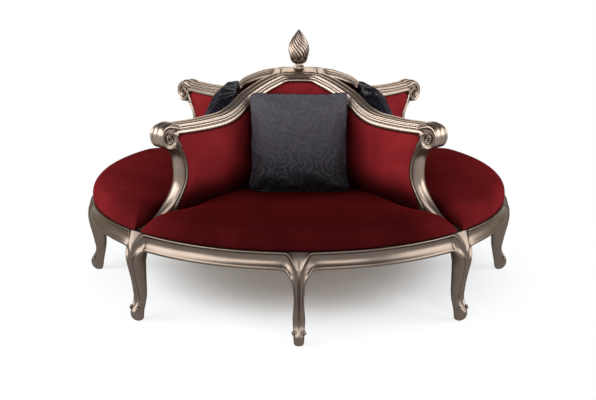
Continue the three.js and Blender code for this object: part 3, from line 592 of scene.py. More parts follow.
def elbow_section(q):
    """One section of the elbow, from the leg's top, at 0, to the end of the rail, at 1."""
    turn = q * QUARTER
    low_side = BLOCK_HALF - (BLOCK_HALF - LEG_HALF) * math.cos(turn)
    low_up = LEG_TOP + (RAIL_FOOT - ELBOW_DROP - LEG_TOP) * math.sin(BOW * turn) / math.sin(BOW * QUARTER)
    high_side = BLOCK_HALF * passed(q, SPLIT, 1)
    if high_side:
        high_up = SHIELD_FOOT + (RIM - SHIELD_FOOT) * (1 - (1 - passed(q, SPLIT, 1)) ** 1.7)
    else:
        high_up = LEG_TOP + (SHIELD_FOOT - LEG_TOP) * q / SPLIT
    early = passed(q, 0, BOW)
    blend = early * early * (3 - 2 * early)
    front = read(FRONT_ROWS, high_up)[0]
    row = []
    for j, (part, lost) in enumerate(LEG_FACE):
        k = j - PANEL_POINTS
        own_r = front - BLOCK_DEPTH * lost
        if k < 0 and high_side:
            # the shield, sunk between the two mouldings
            painted_foot_shade = min(1, high_side / SHIELD_EDGE) * (5.5 if j < 2 else 4.5)
            row.append((high_side * j / PANEL_POINTS, high_up, front - painted_foot_shade - 0.4 * q))
        elif k < len(RAIL_FRONT):
            # the moulding, which turns from the leg's into the rail's
            rail_r, rail_z = RAIL_FRONT[max(0, k)]
            rail_part = (RIM - rail_z) / (RIM - RAIL_FOOT)
            share = part + (rail_part - part) * blend if k >= 0 else part
            r = front - BLOCK_DEPTH * lost * (1 - blend) + (rail_r - RIM_RADIUS) * blend
            aside = high_side + (low_side - high_side) * share
            row.append((aside, high_up + (low_up - high_up) * share, r))
        else:
            end_part, end_r, end_up = BLOCK_BACK[k - len(RAIL_FRONT)]
            up = low_up + (high_up - low_up) * end_up * blend
            aside = low_side * (part + (end_part - part) * blend)
            row.append((aside, up, own_r + (end_r - own_r) * blend))
    return row


def on_leg(u, z, r):
    """A place on a leg: sideways on the foot circle, height, and distance from the axis."""
    angle = math.atan(u / FOOT_CIRCLE)
    return (r * math.cos(angle), r * math.sin(angle), z)


half_sections += [elbow_section((i + 1) / ELBOW_STEPS) for i in range(ELBOW_STEPS)]
half_sections.append([(u * 0.98, z - 1, TUCK_RADIUS) for u, z, r in half_sections[-1]])
leg = pull("leg_pattern", [[on_leg(*p) for p in row] for row in half_sections])
print("leg half", len(half_sections), "sections of", len(LEG_FACE))

# %% The other half of the leg
NO_WIDTH = 1e-6
select_faces(leg, lambda face: all(abs(corner.co.y) < NO_WIDTH for corner in face.verts))
bpy.ops.mesh.delete(type="FACE")
use(leg, "MIRROR", use_axis=(False, True, False), merge_threshold=0.05 * MM)
face_outwards(leg, 0.02)
soften(leg, 55)

# %% Curls at the toe
CURL_PLACE = (1013, 22, 60)
CURL_RADIUS = 11
CURL_THICK = 7
curls = []
for side in (-1, 1):
    x, y, z = CURL_PLACE
    curls.append(ball((x, side * y, z), (CURL_RADIUS, CURL_THICK, CURL_RADIUS), 24, 14))
    button = (0.45 * CURL_RADIUS, 0.6 * CURL_THICK, 0.45 * CURL_RADIUS)
    curls.append(ball((x, side * (y + 0.75 * CURL_THICK), z), button, 16, 10))
for curl in curls:
    soften(curl)
leg = joined([leg] + curls, "leg_pattern")
spread(leg, leaf, "leafed_wood", DIRECTIONS, "carved_leg_{}", "leg_{}")

# %% [markdown]
# ## Crest rails
# Over each back runs one rail that follows the two walls and the arch between them. Its lower lip
# is broad and bright, then come a hollow, a bead, a second hollow and a rounded top. Two rails meet
# back to back on each wall and leave a dark valley between them. The section is kept upright and
# pulled along the wall, round the turn and over the arch, where its bead sinks into a cove.

# %% The way of the crest rail
ARM_REACH = 765
ARM_HALF = 43
LIP = 797
ARCH_RISE = 161
CREST_DEPTH = 46
CREST_GAP = 0.15
CROWN_HALF = 87.3
TURN = 100
TURN_REACH = TURN * math.tan(QUARTER / 4)
TURN_STEPS = 9
TOP_DEPTH = 0.74
# share of the arm's reach, share of the rise, depth
WALL_ROWS = smooth_rows([
    (0.9996, 0.03, 1), (0.86, 0.008, 1.02), (0.74, 0.006, 1.1), (0.64, 0.05, 1.08), (0.55, 0.18, 1.17),
    (0.47, 0.43, 1.15), (0.37, 0.665, 1.02), (0.29, 0.803, 0.98), (0.2235, 0.89, 0.95),
], 5)


def beside(reach, offset):
    """A plan point beside a wall: the distance out along it, and the distance from its middle plane."""
    return ((reach + offset) * DIAGONAL, (reach - offset) * DIAGONAL)


def on_turn(step, offset=0):
    """A plan point at a step of the turn under the arch, and the way that the wall faces there."""
    facing = -QUARTER / 2 * (1 - step / TURN_STEPS)
    x = CROWN_HALF + TURN * (1 - math.cos(facing)) + offset * math.cos(facing)
    y = CROWN_HALF - TURN_REACH - TURN * math.sin(facing) + offset * math.sin(facing)
    return x, y, facing


def turn_rise(step):
    """The share of the arch's rise at a step of the turn."""
    return 0.9 + 0.095 * (1 - (1 - step / TURN_STEPS) ** 1.5)


stations = []
for share, rise, deep in WALL_ROWS:
    stations.append((*beside(share * ARM_REACH, CREST_GAP), -QUARTER / 2, rise, deep, 0))
for step in range(1, TURN_STEPS + 1):
    done = step / TURN_STEPS
    deep = 0.94 + (TOP_DEPTH - 0.94) * done
    stations.append((*on_turn(step), turn_rise(step), deep, passed(done, 0.4, 1)))
for y in (31, 15, 0):
    sag = 0.005 * (y / (CROWN_HALF - TURN_REACH)) ** 2
    stations.append((CROWN_HALF, y, 0, 1 - sag, TOP_DEPTH, 1))
stations += [(x, -y, -facing, *rest) for x, y, facing, *rest in reversed(stations[:-1])]
print("crest rail", len(stations), "sections")

# %% Crest rail
# share outwards of half the arm, share of the depth
CREST_FACE = [
    (0, 0), (0.6, 0), (0.93, 0), (0.985, 0.02), (1, 0.075), (0.997, 0.15), (0.985, 0.225), (0.96, 0.3),
    (0.93, 0.352), (0.895, 0.385), (0.868, 0.405), (0.862, 0.435), (0.882, 0.465), (0.894, 0.5),
    (0.89, 0.55), (0.868, 0.6), (0.83, 0.645), (0.79, 0.68), (0.76, 0.715), (0.745, 0.755),
    (0.745, 0.8), (0.742, 0.845), (0.722, 0.895), (0.68, 0.94), (0.61, 0.975), (0.49, 0.997),
    (0.34, 0.998), (0.2, 0.975), (0.09, 0.935), (0.025, 0.89), (0, 0.84),
]
COVE_FOOT = 0.33
COVE_TOP = 0.9
COVE_DEPTH = 0.24
CREST_WIDTH = ARM_HALF - CREST_GAP
sections = []
for x, y, facing, rise, deep, cove in stations:
    section = []
    for out, up in CREST_FACE:
        if COVE_FOOT < up < COVE_TOP and out > 0.3:
            out -= cove * COVE_DEPTH * math.sin(math.pi * passed(up, COVE_FOOT, COVE_TOP))
        section.append((
            x + out * CREST_WIDTH * math.cos(facing), y + out * CREST_WIDTH * math.sin(facing),
            LIP + rise * ARCH_RISE + up * deep * CREST_DEPTH,
        ))
    sections.append(section)
crest = pull("crest_pattern", sections, 60)
spread(crest, leaf, "leafed_wood", SIDES, "carved_crest_rail_{}", "crest_rail_{}")

# %% [markdown]
# ## Arm posts
# Each post holds its arm up like a bent arm itself: in under the scroll, out again at the waist, and
# away in a thin tail that lies on the rim between two seats. Its outer face is a full round, and
# each side has a flat flange along the cloth, with a groove beside it.

# %% Post
RIM_RISE = 339.8
SWEEP = 217.5
POST_LIFT = 0.004
# inner point out and up, outer point out and up, half width
POST_ROWS = smooth_rows([
    (-0.036, 1, 0.21, 1, 0.95), (-0.15, 0.85, 0.055, 0.865, 0.93), (-0.205, 0.68, 0.02, 0.68, 0.91),
    (-0.17, 0.53, 0.05, 0.5, 0.88), (-0.036, 0.35, 0.2, 0.34, 0.8), (0.09, 0.2, 0.42, 0.2, 0.7),
    (0.09, 0.01, 0.66, 0.095, 0.62), (0.5, 0.01, 0.84, 0.045, 0.55), (0.92, 0.008, 0.98, 0.018, 0.5),
], 5)
# from the inner to the outer point, share of the half width
POST_FACE = [
    (0, 0.86), (0.015, 0.95), (0.05, 0.995), (0.1, 1), (0.17, 0.99), (0.205, 0.965), (0.225, 0.925),
    (0.25, 0.9), (0.28, 0.905), (0.31, 0.935), (0.35, 0.955), (0.42, 0.95), (0.52, 0.9), (0.63, 0.81),
    (0.74, 0.69), (0.84, 0.54), (0.92, 0.37), (0.975, 0.19), (1, 0),
]
sections = []
for in_out, in_up, out_out, out_up, wide in POST_ROWS:
    near = Vector((ARM_REACH + in_out * SWEEP, 0, RIM + max(in_up, POST_LIFT) * RIM_RISE))
    far = Vector((ARM_REACH + out_out * SWEEP, 0, RIM + out_up * RIM_RISE))
    half = []
    for along, share in POST_FACE:
        x, y, z = near.lerp(far, along)
        half.append((x, wide * share * ARM_HALF, z))
    sections.append(both_halves(half))
post = pull("post_pattern", sections, 60)

# %% [markdown]
# ## Arm scrolls
# At the end of the arm the rounded top of the crest rail rolls over and winds in to an eye, while
# the lip below turns the corner and runs down the post. The roll is pulled along a spiral whose
# radii were read from the photograph, over a plain core, and the lip is pulled round its corner.

# %% Roll of the scroll
EYE = (819, 786)
# turn in degrees from straight up, outer radius, thickness of the roll
SPIRAL = smooth_rows([
    (-24, 74, 30), (0, 68.5, 27), (30, 62, 24), (60, 53, 20.5), (90, 46.5, 18.5), (135, 44, 18),
    (180, 43.5, 18.5), (225, 40, 17.5), (270, 35.5, 16.5), (315, 32, 15), (360, 29, 13.5),
    (405, 25.5, 12), (450, 22, 10.5), (495, 19, 9.5), (540, 16.5, 8.5), (585, 14, 7.5),
    (630, 11.5, 6.5), (675, 9.5, 5.5),
], 4)
# share of the thickness from the outside in, share of half the arm
ROLL_FACE = [
    (0.1, 0), (0.03, 0.06), (0, 0.16), (-0.01, 0.3), (0, 0.45), (0.04, 0.56), (0.12, 0.63),
    (0.17, 0.68), (0.15, 0.73), (0.06, 0.77), (0.01, 0.83), (0.01, 0.9), (0.06, 0.965), (0.15, 1),
    (0.27, 1), (0.36, 0.975), (0.44, 0.94), (0.56, 0.92), (0.7, 0.93), (0.84, 0.925), (0.95, 0.89),
    (1, 0.82), (1, 0.4), (1, 0),
]
# the same where the roll leaves the crest rail
CREST_END_FACE = [
    (0.27, 0), (0.19, 0.025), (0.11, 0.09), (0.04, 0.2), (0, 0.34), (0.01, 0.48), (0.05, 0.59),
    (0.11, 0.655), (0.2, 0.69), (0.29, 0.7), (0.37, 0.685), (0.44, 0.672), (0.51, 0.69), (0.565, 0.73),
    (0.61, 0.785), (0.68, 0.835), (0.77, 0.862), (0.85, 0.865), (0.91, 0.845), (0.96, 0.822),
    (0.99, 0.8), (1, 0.7), (1, 0.4), (1, 0),
]
# turn, distance from the axis, height, thickness, and how far its own section has come
turns = [(0, 765.2, 847.8, 27, 0), (-11, 776.5, 850.9, 28.5, 0.12)]
for degrees, radius, thick in SPIRAL:
    angle = math.radians(degrees)
    place = (EYE[0] + radius * math.sin(angle), EYE[1] + radius * math.cos(angle))
    turns.append((degrees, *place, thick, passed(degrees, -50, 60)))
sections = []
for degrees, x, z, thick, rolled in turns:
    angle = math.radians(degrees)
    swell = 1 + 0.035 * passed(degrees, 90, 490)
    half = []
    for (n0, w0), (n1, w1) in zip(CREST_END_FACE, ROLL_FACE):
        depth = (n0 + (n1 - n0) * rolled) * thick
        out = (w0 + (w1 - w0) * rolled) * swell * ARM_HALF
        half.append((x - math.sin(angle) * depth, out, z - math.cos(angle) * depth))
    sections.append(both_halves(half))
roll = pull("roll", sections, 60)

# %% Lip, core and eye of the scroll
# distance from the axis, height, tilt in degrees
LIP_PATH = smooth_rows([
    (765.2, 812.5, 90), (775, 812, 80), (783, 808, 52), (787.5, 800, 15), (787.5, 790, -5),
    (784.5, 778, -18), (777, 763, -28), (764, 742.5, -32),
], 4)
# outwards from the path, share of half the arm
LIP_FACE = [
    (-10, 0.55), (-10, 0.93), (-8, 0.985), (-4, 1), (0, 0.985), (4, 0.95), (8, 0.88), (11, 0.8),
    (11, 0.55),
]
WEB = 13
WEB_TILT = 35
WEB_RUN = 38
sections = []
for x, z, tilt in LIP_PATH:
    angle = math.radians(tilt)
    web = WEB * math.exp(-((tilt - WEB_TILT) / WEB_RUN) ** 2)
    half = []
    for out, share in LIP_FACE:
        out -= web if out < -5 else 0
        half.append((x + math.cos(angle) * out, share * ARM_HALF, z + math.sin(angle) * out))
    sections.append(both_halves(half))
lip = pull("lip", sections, 60)
CORE = [
    (757, 742), (770, 765), (779, 785), (775, 803), (765.2, 803), (765.2, 840), (785, 850), (806, 850),
    (828, 845), (846, 832), (858, 812), (860, 790), (856, 770), (846, 754), (832, 744.5), (812, 742),
]
CORE_SHARE = 0.74
core_half = CORE_SHARE * ARM_HALF
core = pull("core", [[(x, y, z) for x, z in CORE] for y in (-core_half, core_half)], 40)
eye = ball((EYE[0], 0, EYE[1]), (8.5, 45.5, 8.5), 28, 16)
soften(eye)
scroll = joined([roll, lip, core, eye], "scroll_pattern")
spread(scroll, leaf, "leafed_wood", CORNERS, "carved_arm_scroll_{}", "arm_scroll_{}")
spread(post, leaf, "leafed_wood", CORNERS, "carved_arm_post_{}", "arm_post_{}")

# %% [markdown]
# ## Crown and finial
# The four arches stand round a square block, turned on top to a low dome that carries the finial: a
# closed bud with twisted flutes, in a cup of leaves on a ridged stem. The block starts as a cube
# whose top is inset and raised. The bud is pulled from turned sections whose ridges twist.

# %% Crown block
CROWN_SINK = 13
# each inset of the top, and the rise that follows it
DOME_STEPS = [(10, 4.2), (13, 3.4), (15, 2.5), (17, 1.6), (15, 0.9), (8, 0)]
low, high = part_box("crown_block")
only(None)
bpy.ops.mesh.primitive_cube_add(size=1)
crown = bpy.context.object
crown.name = "carved_crown_block"
crown.data.transform(Matrix.Translation((low + high) / 2) @ Matrix.Diagonal((*(high - low), 1)))
select_faces(crown, lambda face: face.normal.z > 0.9)
bpy.ops.transform.translate(value=(0, 0, -CROWN_SINK * MM))
for inset, rise in DOME_STEPS:
    bpy.ops.mesh.inset(thickness=inset * MM)
    bpy.ops.transform.translate(value=(0, 0, rise * MM))
bpy.ops.object.mode_set(mode="OBJECT")
use(crown, "BEVEL", width=9 * MM, segments=4, limit_method="ANGLE")
crown.data.uv_layers[0].name = "run"
soften(crown, 40)
dress(crown, leaf, "settee", "leafed_wood", "crown_block")
print("crown block", len(crown.data.polygons), "faces")

# %% Bud and stem of the finial
FINIAL_FOOT = 1001.4
# height, radius, share of the flutes' depth, twist in radians
BUD_ROWS = smooth_rows([
    (38, 20, 0, 0), (41, 27, 0.1, 0.03), (46, 34.5, 0.6, 0.08), (54, 41, 1, 0.18), (66, 46, 1, 0.34),
    (81, 48.8, 1, 0.53), (96, 48.8, 1, 0.74), (112, 45.8, 1, 0.98), (128, 39.5, 1, 1.26),
    (143, 31.5, 1, 1.58), (156, 22.5, 1, 1.92), (168, 13.5, 0.9, 2.3), (177, 6.8, 0.6, 2.6),
    (182.5, 1.2, 0, 2.8),
], 5)
STEM_TWIST = -0.012
STEM_ROWS = [(up, radius, deep, STEM_TWIST * up) for up, radius, deep in smooth_rows([
    (-1, 24, 0.3), (2, 27, 0.8), (8, 25, 1), (15, 20, 1), (22, 18, 1), (28, 20, 1), (35, 26, 0.8),
    (41, 27, 0.3), (45, 25, 0),
], 3)]


def fluted(name, rows, points, flutes, depth, sharp):
    """A turned body with this many flutes: their depth is a share of the radius, and a lower sharp
    makes them narrower."""
    sections = []
    for up, radius, deep, twist in rows:
        section = []
        for i in range(points):
            angle = 2 * math.pi * i / points
            ridge = abs(math.sin(flutes * angle / 2)) ** sharp
            r = radius * (1 - depth * max(0, deep) * (1 - ridge))
            section.append((r * math.cos(angle - twist), r * math.sin(angle - twist), FINIAL_FOOT + up))
        sections.append(section)
    return pull(name, sections, 65)


bud = fluted("bud", BUD_ROWS, 160, 16, 0.07, 0.85)
stem = fluted("stem", STEM_ROWS, 96, 12, 0.16, 0.8)

# %% Cup leaves and the whole finial
# out, up, half width, thickness
LEAF_ROWS = smooth_rows([
    (22, 24, 7, 4), (27, 28, 12, 4.4), (32, 33, 14.5, 4.2), (36.5, 39, 13.5, 3.8), (40, 45, 9.5, 3.2),
    (42.5, 50, 5, 2.6), (44.5, 54, 1.6, 1.6),
], 4)
LEAF_POINTS = 16
RIB_HEIGHT = 1.2
RIB_SHARE = 0.22
sections = []
for out, up, wide, thick in LEAF_ROWS:
    section = []
    for i in range(LEAF_POINTS):
        angle = 2 * math.pi * i / LEAF_POINTS
        side, face = math.cos(angle), math.sin(angle)
        rib = RIB_HEIGHT * math.exp(-(side / RIB_SHARE) ** 2) if face > 0 else 0
        curled = 0.16 * wide * side * side
        drop = 0.2 * wide * abs(side)
        section.append((out + thick / 2 * face + rib - curled, wide * side, FINIAL_FOOT + up - drop))
    sections.append(section)
cup_leaf = pull("cup_leaf", sections)
use(cup_leaf, "SUBSURF", levels=1, render_levels=1)
soften(cup_leaf)
cup = [turned(cup_leaf, f"cup_{i}", i + 0.5) for i in range(8)]
bpy.data.objects.remove(cup_leaf)
finial = joined([bud, stem] + cup, "carved_finial")
dress(finial, leaf, "settee", "leafed_wood", "finial")
print("finial", len(finial.data.polygons), "faces")

# %% [markdown]
# ## Red cloth
# The seats and backs are covered in a plain cotton velvet, pulled tight over foam and a domed
# spring seat. Velvet is a cut pile on a woven ground: it is dark where you look into the pile and
# catches a soft light at a glancing angle. Sheen gives that glance, a slow noise gives the brushed
# nap, and a fine noise at 0.8 mm, coarser than the pile so that it shows, gives the tooth. The seats
# are painted darker than the backs, a little less so towards the two sides, as painted shade and
# light, and the velvet is painted nearly black, as painted shade, where two soft pieces meet.
# Ambient occlusion finds those places.

# %% Velvet
# millimetres: a brushed patch, the tooth of the pile, and the reach of the painted crevice shade
NAP = 200
PILE = 0.8
CREVICE_REACH = 150


def make_velvet():
    """The velvet: painted light and shade tone it by place, and painted shade darkens the crevices."""
    material, tree = new_material("crimson_cotton_velvet_cut_pile")
    place = node(tree, "TexCoord").outputs["Object"]
    nap = node(tree, "TexNoise",
               {"Scale": per_metre(NAP), "Detail": 3.0, "Roughness": 0.6, "Distortion": 0.4}, Vector=place)
    pile = node(tree, "TexNoise", {"Scale": per_metre(PILE), "Detail": 1.0}, Vector=place)
    tone = node(tree, "Math", MULTIPLY_ADD, pile, 0.25, nap)
    dye = node(tree, "ValToRGB", {"stops": [(0.38, "#60181c"), (0.62, "#6f1d20"), (0.85, "#7d2225")]}, tone)
    split = node(tree, "SeparateXYZ", {}, place)
    # painted light: the seats are painted lighter towards the two sides
    aside = node(tree, "Math", {"operation": "ABSOLUTE"}, split.outputs["X"])
    painted_side_light = node(tree, "MapRange", {"From Min": 0.45, "From Max": 0.9, "To Min": 0.2, "To Max": 0.66}, aside)
    # painted shade: below 0.49 m the seats are painted darker than the backs
    painted_seat_shade = node(tree, "MapRange",
                   {"From Min": 0.49, "From Max": 0.62, "interpolation_type": "SMOOTHSTEP"},
                   split.outputs["Z"], To_Min=painted_side_light, To_Max=1.0)
    lit = node(tree, "VectorMath", SCALE, dye, Scale=painted_seat_shade)
    # painted shade: the velvet is painted darker, nearly black, where a neighbour closes in
    shade = node(tree, "AmbientOcclusion", {"samples": 8, "Distance": CREVICE_REACH * MM}).outputs["AO"]
    painted_crevice_shade = node(tree, "MapRange",
                   {"From Min": 0.4, "From Max": 0.85, "To Min": 0.25, "To Max": 1.04}, shade)
    colour = node(tree, "VectorMath", SCALE, lit, Scale=painted_crevice_shade)
    bump = node(tree, "Bump", {"Strength": 0.25, "Distance": 0.5 * MM}, Height=pile)
    shader = node(tree, "BsdfPrincipled",
                  {"Roughness": 0.9, "Sheen Weight": 0.12, "Sheen Roughness": 0.3,
                   "Sheen Tint": linear("#c8322c"), "Specular IOR Level": 0.0},
                  Base_Color=colour, Normal=bump)
    node(tree, "OutputMaterial", {}, shader)
    return material


velvet = make_velvet()
print("velvet", len(velvet.node_tree.nodes), "nodes")

# %% [markdown]
# ## Tight seats
# Each seat is a quarter of the ring: upright foam along the two walls, a full roll over the rim,
# and corners that slope away so that the tail of the post shows. It is pulled upwards, outline by
# outline, from the deck to the crown.

# %% Outline of a seat
SEAT_FOOT = 401.7
SEAT_TOP = 500
SEAT_ROLL = 50
SEAT_CROWN = 3
WALL = 43.6
SEAT_FRONT = CROWN_HALF + WALL
SEAT_RADIUS = 980.6
TIP = 22.1
KNEE = 788
ARC_STEPS = 48
# along the wall, and along the taper at its end: share of the way, part of the round front, slope
WALL_SHARES = [(0.2, 0, 0), (0.42, 0, 0), (0.6, 0, 0.02), (0.82, 0, 0.25), (1.03, 0, 0.75)]
TAPER_SHARES = [(0, 0, 0.75), (0.33, 0.1, 0.95), (0.68, 0.42, 1.05), (1, 0.6, 1.05)]
# round the front from the corner: degrees, part of the round front, slope
CORNER_ROWS = [(0, 0.6, 1), (3, 0.85, 0.56), (6, 0.97, 0.18), (9, 1, 0.03), (12, 1, 0), (90, 1, 0)]


def seat_outline():
    """Plan points with their part of the round front and of the sloping corner, anticlockwise."""
    half = [(SEAT_FRONT, 62, 0, 0)]
    for share, *parts in smooth_rows(WALL_SHARES, 6)[1:-1]:
        half.append((*beside(share * ARM_REACH, WALL), *parts))
    for share, *parts in smooth_rows(TAPER_SHARES, 4)[:-1]:
        half.append((*beside(KNEE + share * (SEAT_RADIUS - KNEE), WALL + share * (TIP - WALL)), *parts))
    end = QUARTER / 2 - math.asin(TIP / SEAT_RADIUS)
    for i in range(ARC_STEPS // 2 + 1):
        angle = end * (1 - 2 * i / ARC_STEPS)
        parts = read(CORNER_ROWS, math.degrees(end - angle))
        half.append((SEAT_RADIUS * math.cos(angle), SEAT_RADIUS * math.sin(angle), *parts))
    return both_halves(half) + [(SEAT_FRONT, y, 0, 0) for y in (-40, -20, 0, 20, 40)]


# %% Seat
# height and inset along the walls, the same along the round front, extra inset at a corner
SEAT_ROWS = smooth_rows([
    (0, 0.04, 0, 0, 0), (0.04, 0, 0.04, -0.09, 0), (0.25, 0, 0.25, -0.2, 0.4),
    (0.5, 0, 0.5, -0.14, 0.9), (0.74, 0, 0.72, 0.1, 1.5), (0.9, 0.08, 0.88, 0.5, 2.3),
    (0.965, 0.35, 0.955, 1.2, 3.2), (0.985, 0.9, 0.985, 2.4, 4),
], 3)
MIDDLE = 590
outline = seat_outline()
sections = []
for side_up, side_in, arc_up, arc_in, away in SEAT_ROWS:
    section = []
    for x, y, blend, slope in outline:
        up = side_up + (arc_up - side_up) * blend
        inset = (side_in + (arc_in - side_in) * blend + away * slope) * SEAT_ROLL
        share = inset / math.hypot(MIDDLE - x, y)
        section.append((x + (MIDDLE - x) * share, y - y * share, SEAT_FOOT + up * (SEAT_TOP - SEAT_FOOT)))
    sections.append(section)
edge = sections[-1]
for inward in (0.12, 0.28, 0.46, 0.64, 0.8, 0.93):
    risen = math.sin(inward * QUARTER)
    sections.append([
        (x + (MIDDLE - x) * inward, y * (1 - inward), z + (SEAT_TOP + SEAT_CROWN - z) * risen)
        for x, y, z in edge
    ])
seat = pull("seat_pattern", sections, 75)
spread(seat, velvet, "red_fabric", SIDES, "tight_seat_{}", "seat_pad_{}")

# %% [markdown]
# ## Tight backs
# Each back is one padded board bent round the corner: it fills the two walls and the turn under the
# arch, tucks under the lip of the crest rail, and ends along the curve of the posts. It is pulled
# from one post to the other, with a little roll at its edges and a slight swell in the middle.

# %% One section of a back
WALL_HALF = 12.3
BACK_THICK = 30.7
CORNER_ROUND = 28
WALL_START = CROWN_HALF / DIAGONAL + TURN_REACH
END_TOP = 772
EDGE_SHARE = 0.72
EDGE_RUN = 0.06
# height and distance from the axis of the inner edge of post and scroll
INNER_EDGE = smooth_rows([
    (405.4, 784.6), (470, 784.6), (521, 757.2), (582, 728), (633, 720.4), (690.8, 732.4),
    (741.8, 757.2), (777.8, 775), (803, 774),
], 5)
LIP_ROWS = [(reach, rise) for reach, rise, deep in WALL_ROWS]
# share of the height, share of the thickness
BACK_LEVELS = smooth_rows([
    (0, 1), (0.2, 1), (0.4, 1.04), (0.6, 1.06), (0.78, 1.04), (0.88, 1), (0.94, 0.93), (0.98, 0.8),
    (1, 0.62),
], 2)


def under_lip(rise):
    """The height of the back's top, a millimetre under the lip of the crest rail."""
    return LIP + rise * ARCH_RISE - 1


ARM_TOP = under_lip(0.03)


def back_section(s, step=None):
    """One section of the back: s runs from 0 at the post to 1, where the steps of the turn start."""
    if step:
        top = under_lip(turn_rise(step))
    else:
        top = under_lip(read(LIP_ROWS, (WALL_START + (END_TOP - WALL_START) * (1 - s)) / ARM_REACH)[0])
    edge_roll = EDGE_SHARE + (1 - EDGE_SHARE) * math.sin(passed(s, 0, EDGE_RUN) * QUARTER)
    points = []
    for level, thick in BACK_LEVELS:
        z = SEAT_FOOT + level * (top - SEAT_FOOT)
        offset = WALL_HALF + BACK_THICK * thick * edge_roll
        if step:
            x, y, facing = on_turn(step, offset)
        else:
            end = read(INNER_EDGE, SEAT_FOOT + level * (ARM_TOP - SEAT_FOOT))[0] - 2
            reach = WALL_START + (end - WALL_START) * (1 - s)
            left = passed(end - reach, -1, CORNER_ROUND - 1)
            z -= CORNER_ROUND * (1 - math.sqrt(1 - (1 - left) ** 2)) * passed(level, 0.75, 1)
            x, y = beside(reach, offset)
        points.append((x, y, z))
    if step:
        rear = on_turn(step, WALL_HALF)[:2]
    else:
        rear = beside(WALL_START + (0.91 * ARM_REACH - WALL_START) * (1 - s), WALL_HALF)
    return [(*rear, SEAT_FOOT), (*rear, top - 14)] + points[::-1]


# %% Back
END_SECTIONS = [0, 0.006, 0.015, 0.03, 0.05, 0.08]
WALL_STEPS = 22
along_wall = END_SECTIONS + [0.08 + 0.92 * i / WALL_STEPS for i in range(1, WALL_STEPS + 1)]
sections = [back_section(s) for s in along_wall]
sections += [back_section(1, step) for step in range(1, TURN_STEPS + 1)]
centre = [(x, 0, z) for x, y, z in sections[-1]]
sections += [centre] + [[(x, -y, z) for x, y, z in section] for section in reversed(sections)]
back = pull("back_pattern", sections, 75)
spread(back, velvet, "red_fabric", SIDES, "tight_back_{}", "back_pad_{}")

# %% [markdown]
# ## Scatter cushions
# A feather cushion is two squares of cloth sewn round the edge and filled. So it is made that way:
# a grid is doubled and its rim closed, and the Cloth simulation blows it up. The sides pull in, the
# corners stay out as ears, and small folds run in from the seam. Two shallow waves of slack give
# the folds a place to start, so that they come out the same in each run. The map called cut keeps
# the flat places of the cloth, so the woven pattern follows every fold.

# %% Cover of a cushion
CUSHION_WIDE = 460
CUSHION_TALL = 455
CUSHION_THICK = 150
COVER_STEPS = 44
CUT_SHARE = 1.04
BELLY = 14
SLACK = 3


def cushion_cover(name):
    """Two nearly flat squares of cloth facing +X and -X, joined at the rim."""
    only(None)
    bpy.ops.mesh.primitive_grid_add(x_subdivisions=COVER_STEPS, y_subdivisions=COVER_STEPS, size=1)
    cover = bpy.context.object
    cover.name = cover.data.name = name
    bpy.ops.object.mode_set(mode="EDIT")
    bpy.ops.mesh.select_all(action="SELECT")
    bpy.ops.mesh.extrude_region_move(TRANSFORM_OT_translate={"value": (0, 0, 0.02)})
    bpy.ops.mesh.select_all(action="SELECT")
    bpy.ops.mesh.normals_make_consistent(inside=False)
    mesh = bmesh.from_edit_mesh(cover.data)
    layer = mesh.loops.layers.uv.new("cut")
    for face in mesh.faces:
        away = 1.0 if face.normal.z < -0.5 else 0.0
        for loop in face.loops:
            loop[layer].uv = (loop.vert.co.x * CUSHION_WIDE * MM + away, loop.vert.co.y * CUSHION_TALL * MM)
    bmesh.update_edit_mesh(cover.data)
    bpy.ops.object.mode_set(mode="OBJECT")
    for corner in cover.data.vertices:
        across, up, side = corner.co
        belly = (1 - (2 * across) ** 2) * (1 - (2 * up) ** 2)
        depth = (0.5 + BELLY * max(0, belly)) * (1 if side > 0.01 else -1)
        corner.co = Vector((depth, across * CUSHION_WIDE * CUT_SHARE, up * CUSHION_TALL * CUT_SHARE)) * MM
        y, z = corner.co.y, corner.co.z
        corner.co.x += SLACK * MM * math.sin(61 * y + 23 * z) * math.sin(47 * z - 31 * y)
    return cover


def blow_up(cover, pressure, frames):
    """Fills the cover by simulation, and applies it."""
    modifier = cover.modifiers.new("cloth", "CLOTH")
    cloth = modifier.settings
    cloth.quality = 6
    cloth.mass = 0.25
    cloth.tension_stiffness = cloth.compression_stiffness = 18
    cloth.shear_stiffness = 8
    cloth.bending_stiffness = 3
    cloth.use_pressure = True
    cloth.uniform_pressure_force = pressure
    cloth.effector_weights.gravity = 0
    modifier.collision_settings.use_self_collision = False
    modifier.point_cache.frame_start = 1
    modifier.point_cache.frame_end = frames
    for frame_number in range(1, frames + 1):
        bpy.context.scene.frame_set(frame_number)
    only(cover)
    bpy.ops.object.modifier_apply(modifier=modifier.name)
    bpy.context.scene.frame_set(1)


cover = cushion_cover("cover_pattern")
blow_up(cover, pressure=2.2, frames=12)
size = [2 * max(abs(corner.co[k]) for corner in cover.data.vertices) for k in range(3)]
print("cover after filling", [round(s / MM) for s in size])

# %% [markdown]
# ## Shape and piping of the cushions
# The filled cover is brought to the cushion's size. Feathers sink, so it is fuller below, and the
# face that leans on the back is flatter than the face that shows. Its seam is then moved to the
# outline of the real cushion: drawn in at the sides, with rounded ears at the top and broader
# corners below. The piped cord is a torus whose corners are moved onto the seam.

# %% Outline of the seam
SEAM_SHARE = 0.4925
THICK_SHARE = 0.96
SINK = 0.14
FRONT_SWELL = 1.15
REAR_SWELL = 0.9


def flat_places(cover):
    """Where each corner of the cover lies in the flat cloth: across and up, from -1 to 1."""
    places = [None] * len(cover.data.vertices)
    for loop in cover.data.loops:
        u, v = cover.data.uv_layers["cut"].data[loop.index].uv
        places[loop.vertex_index] = (2 * (u - round(u)) / (CUSHION_WIDE * MM), 2 * v / (CUSHION_TALL * MM))
    return places


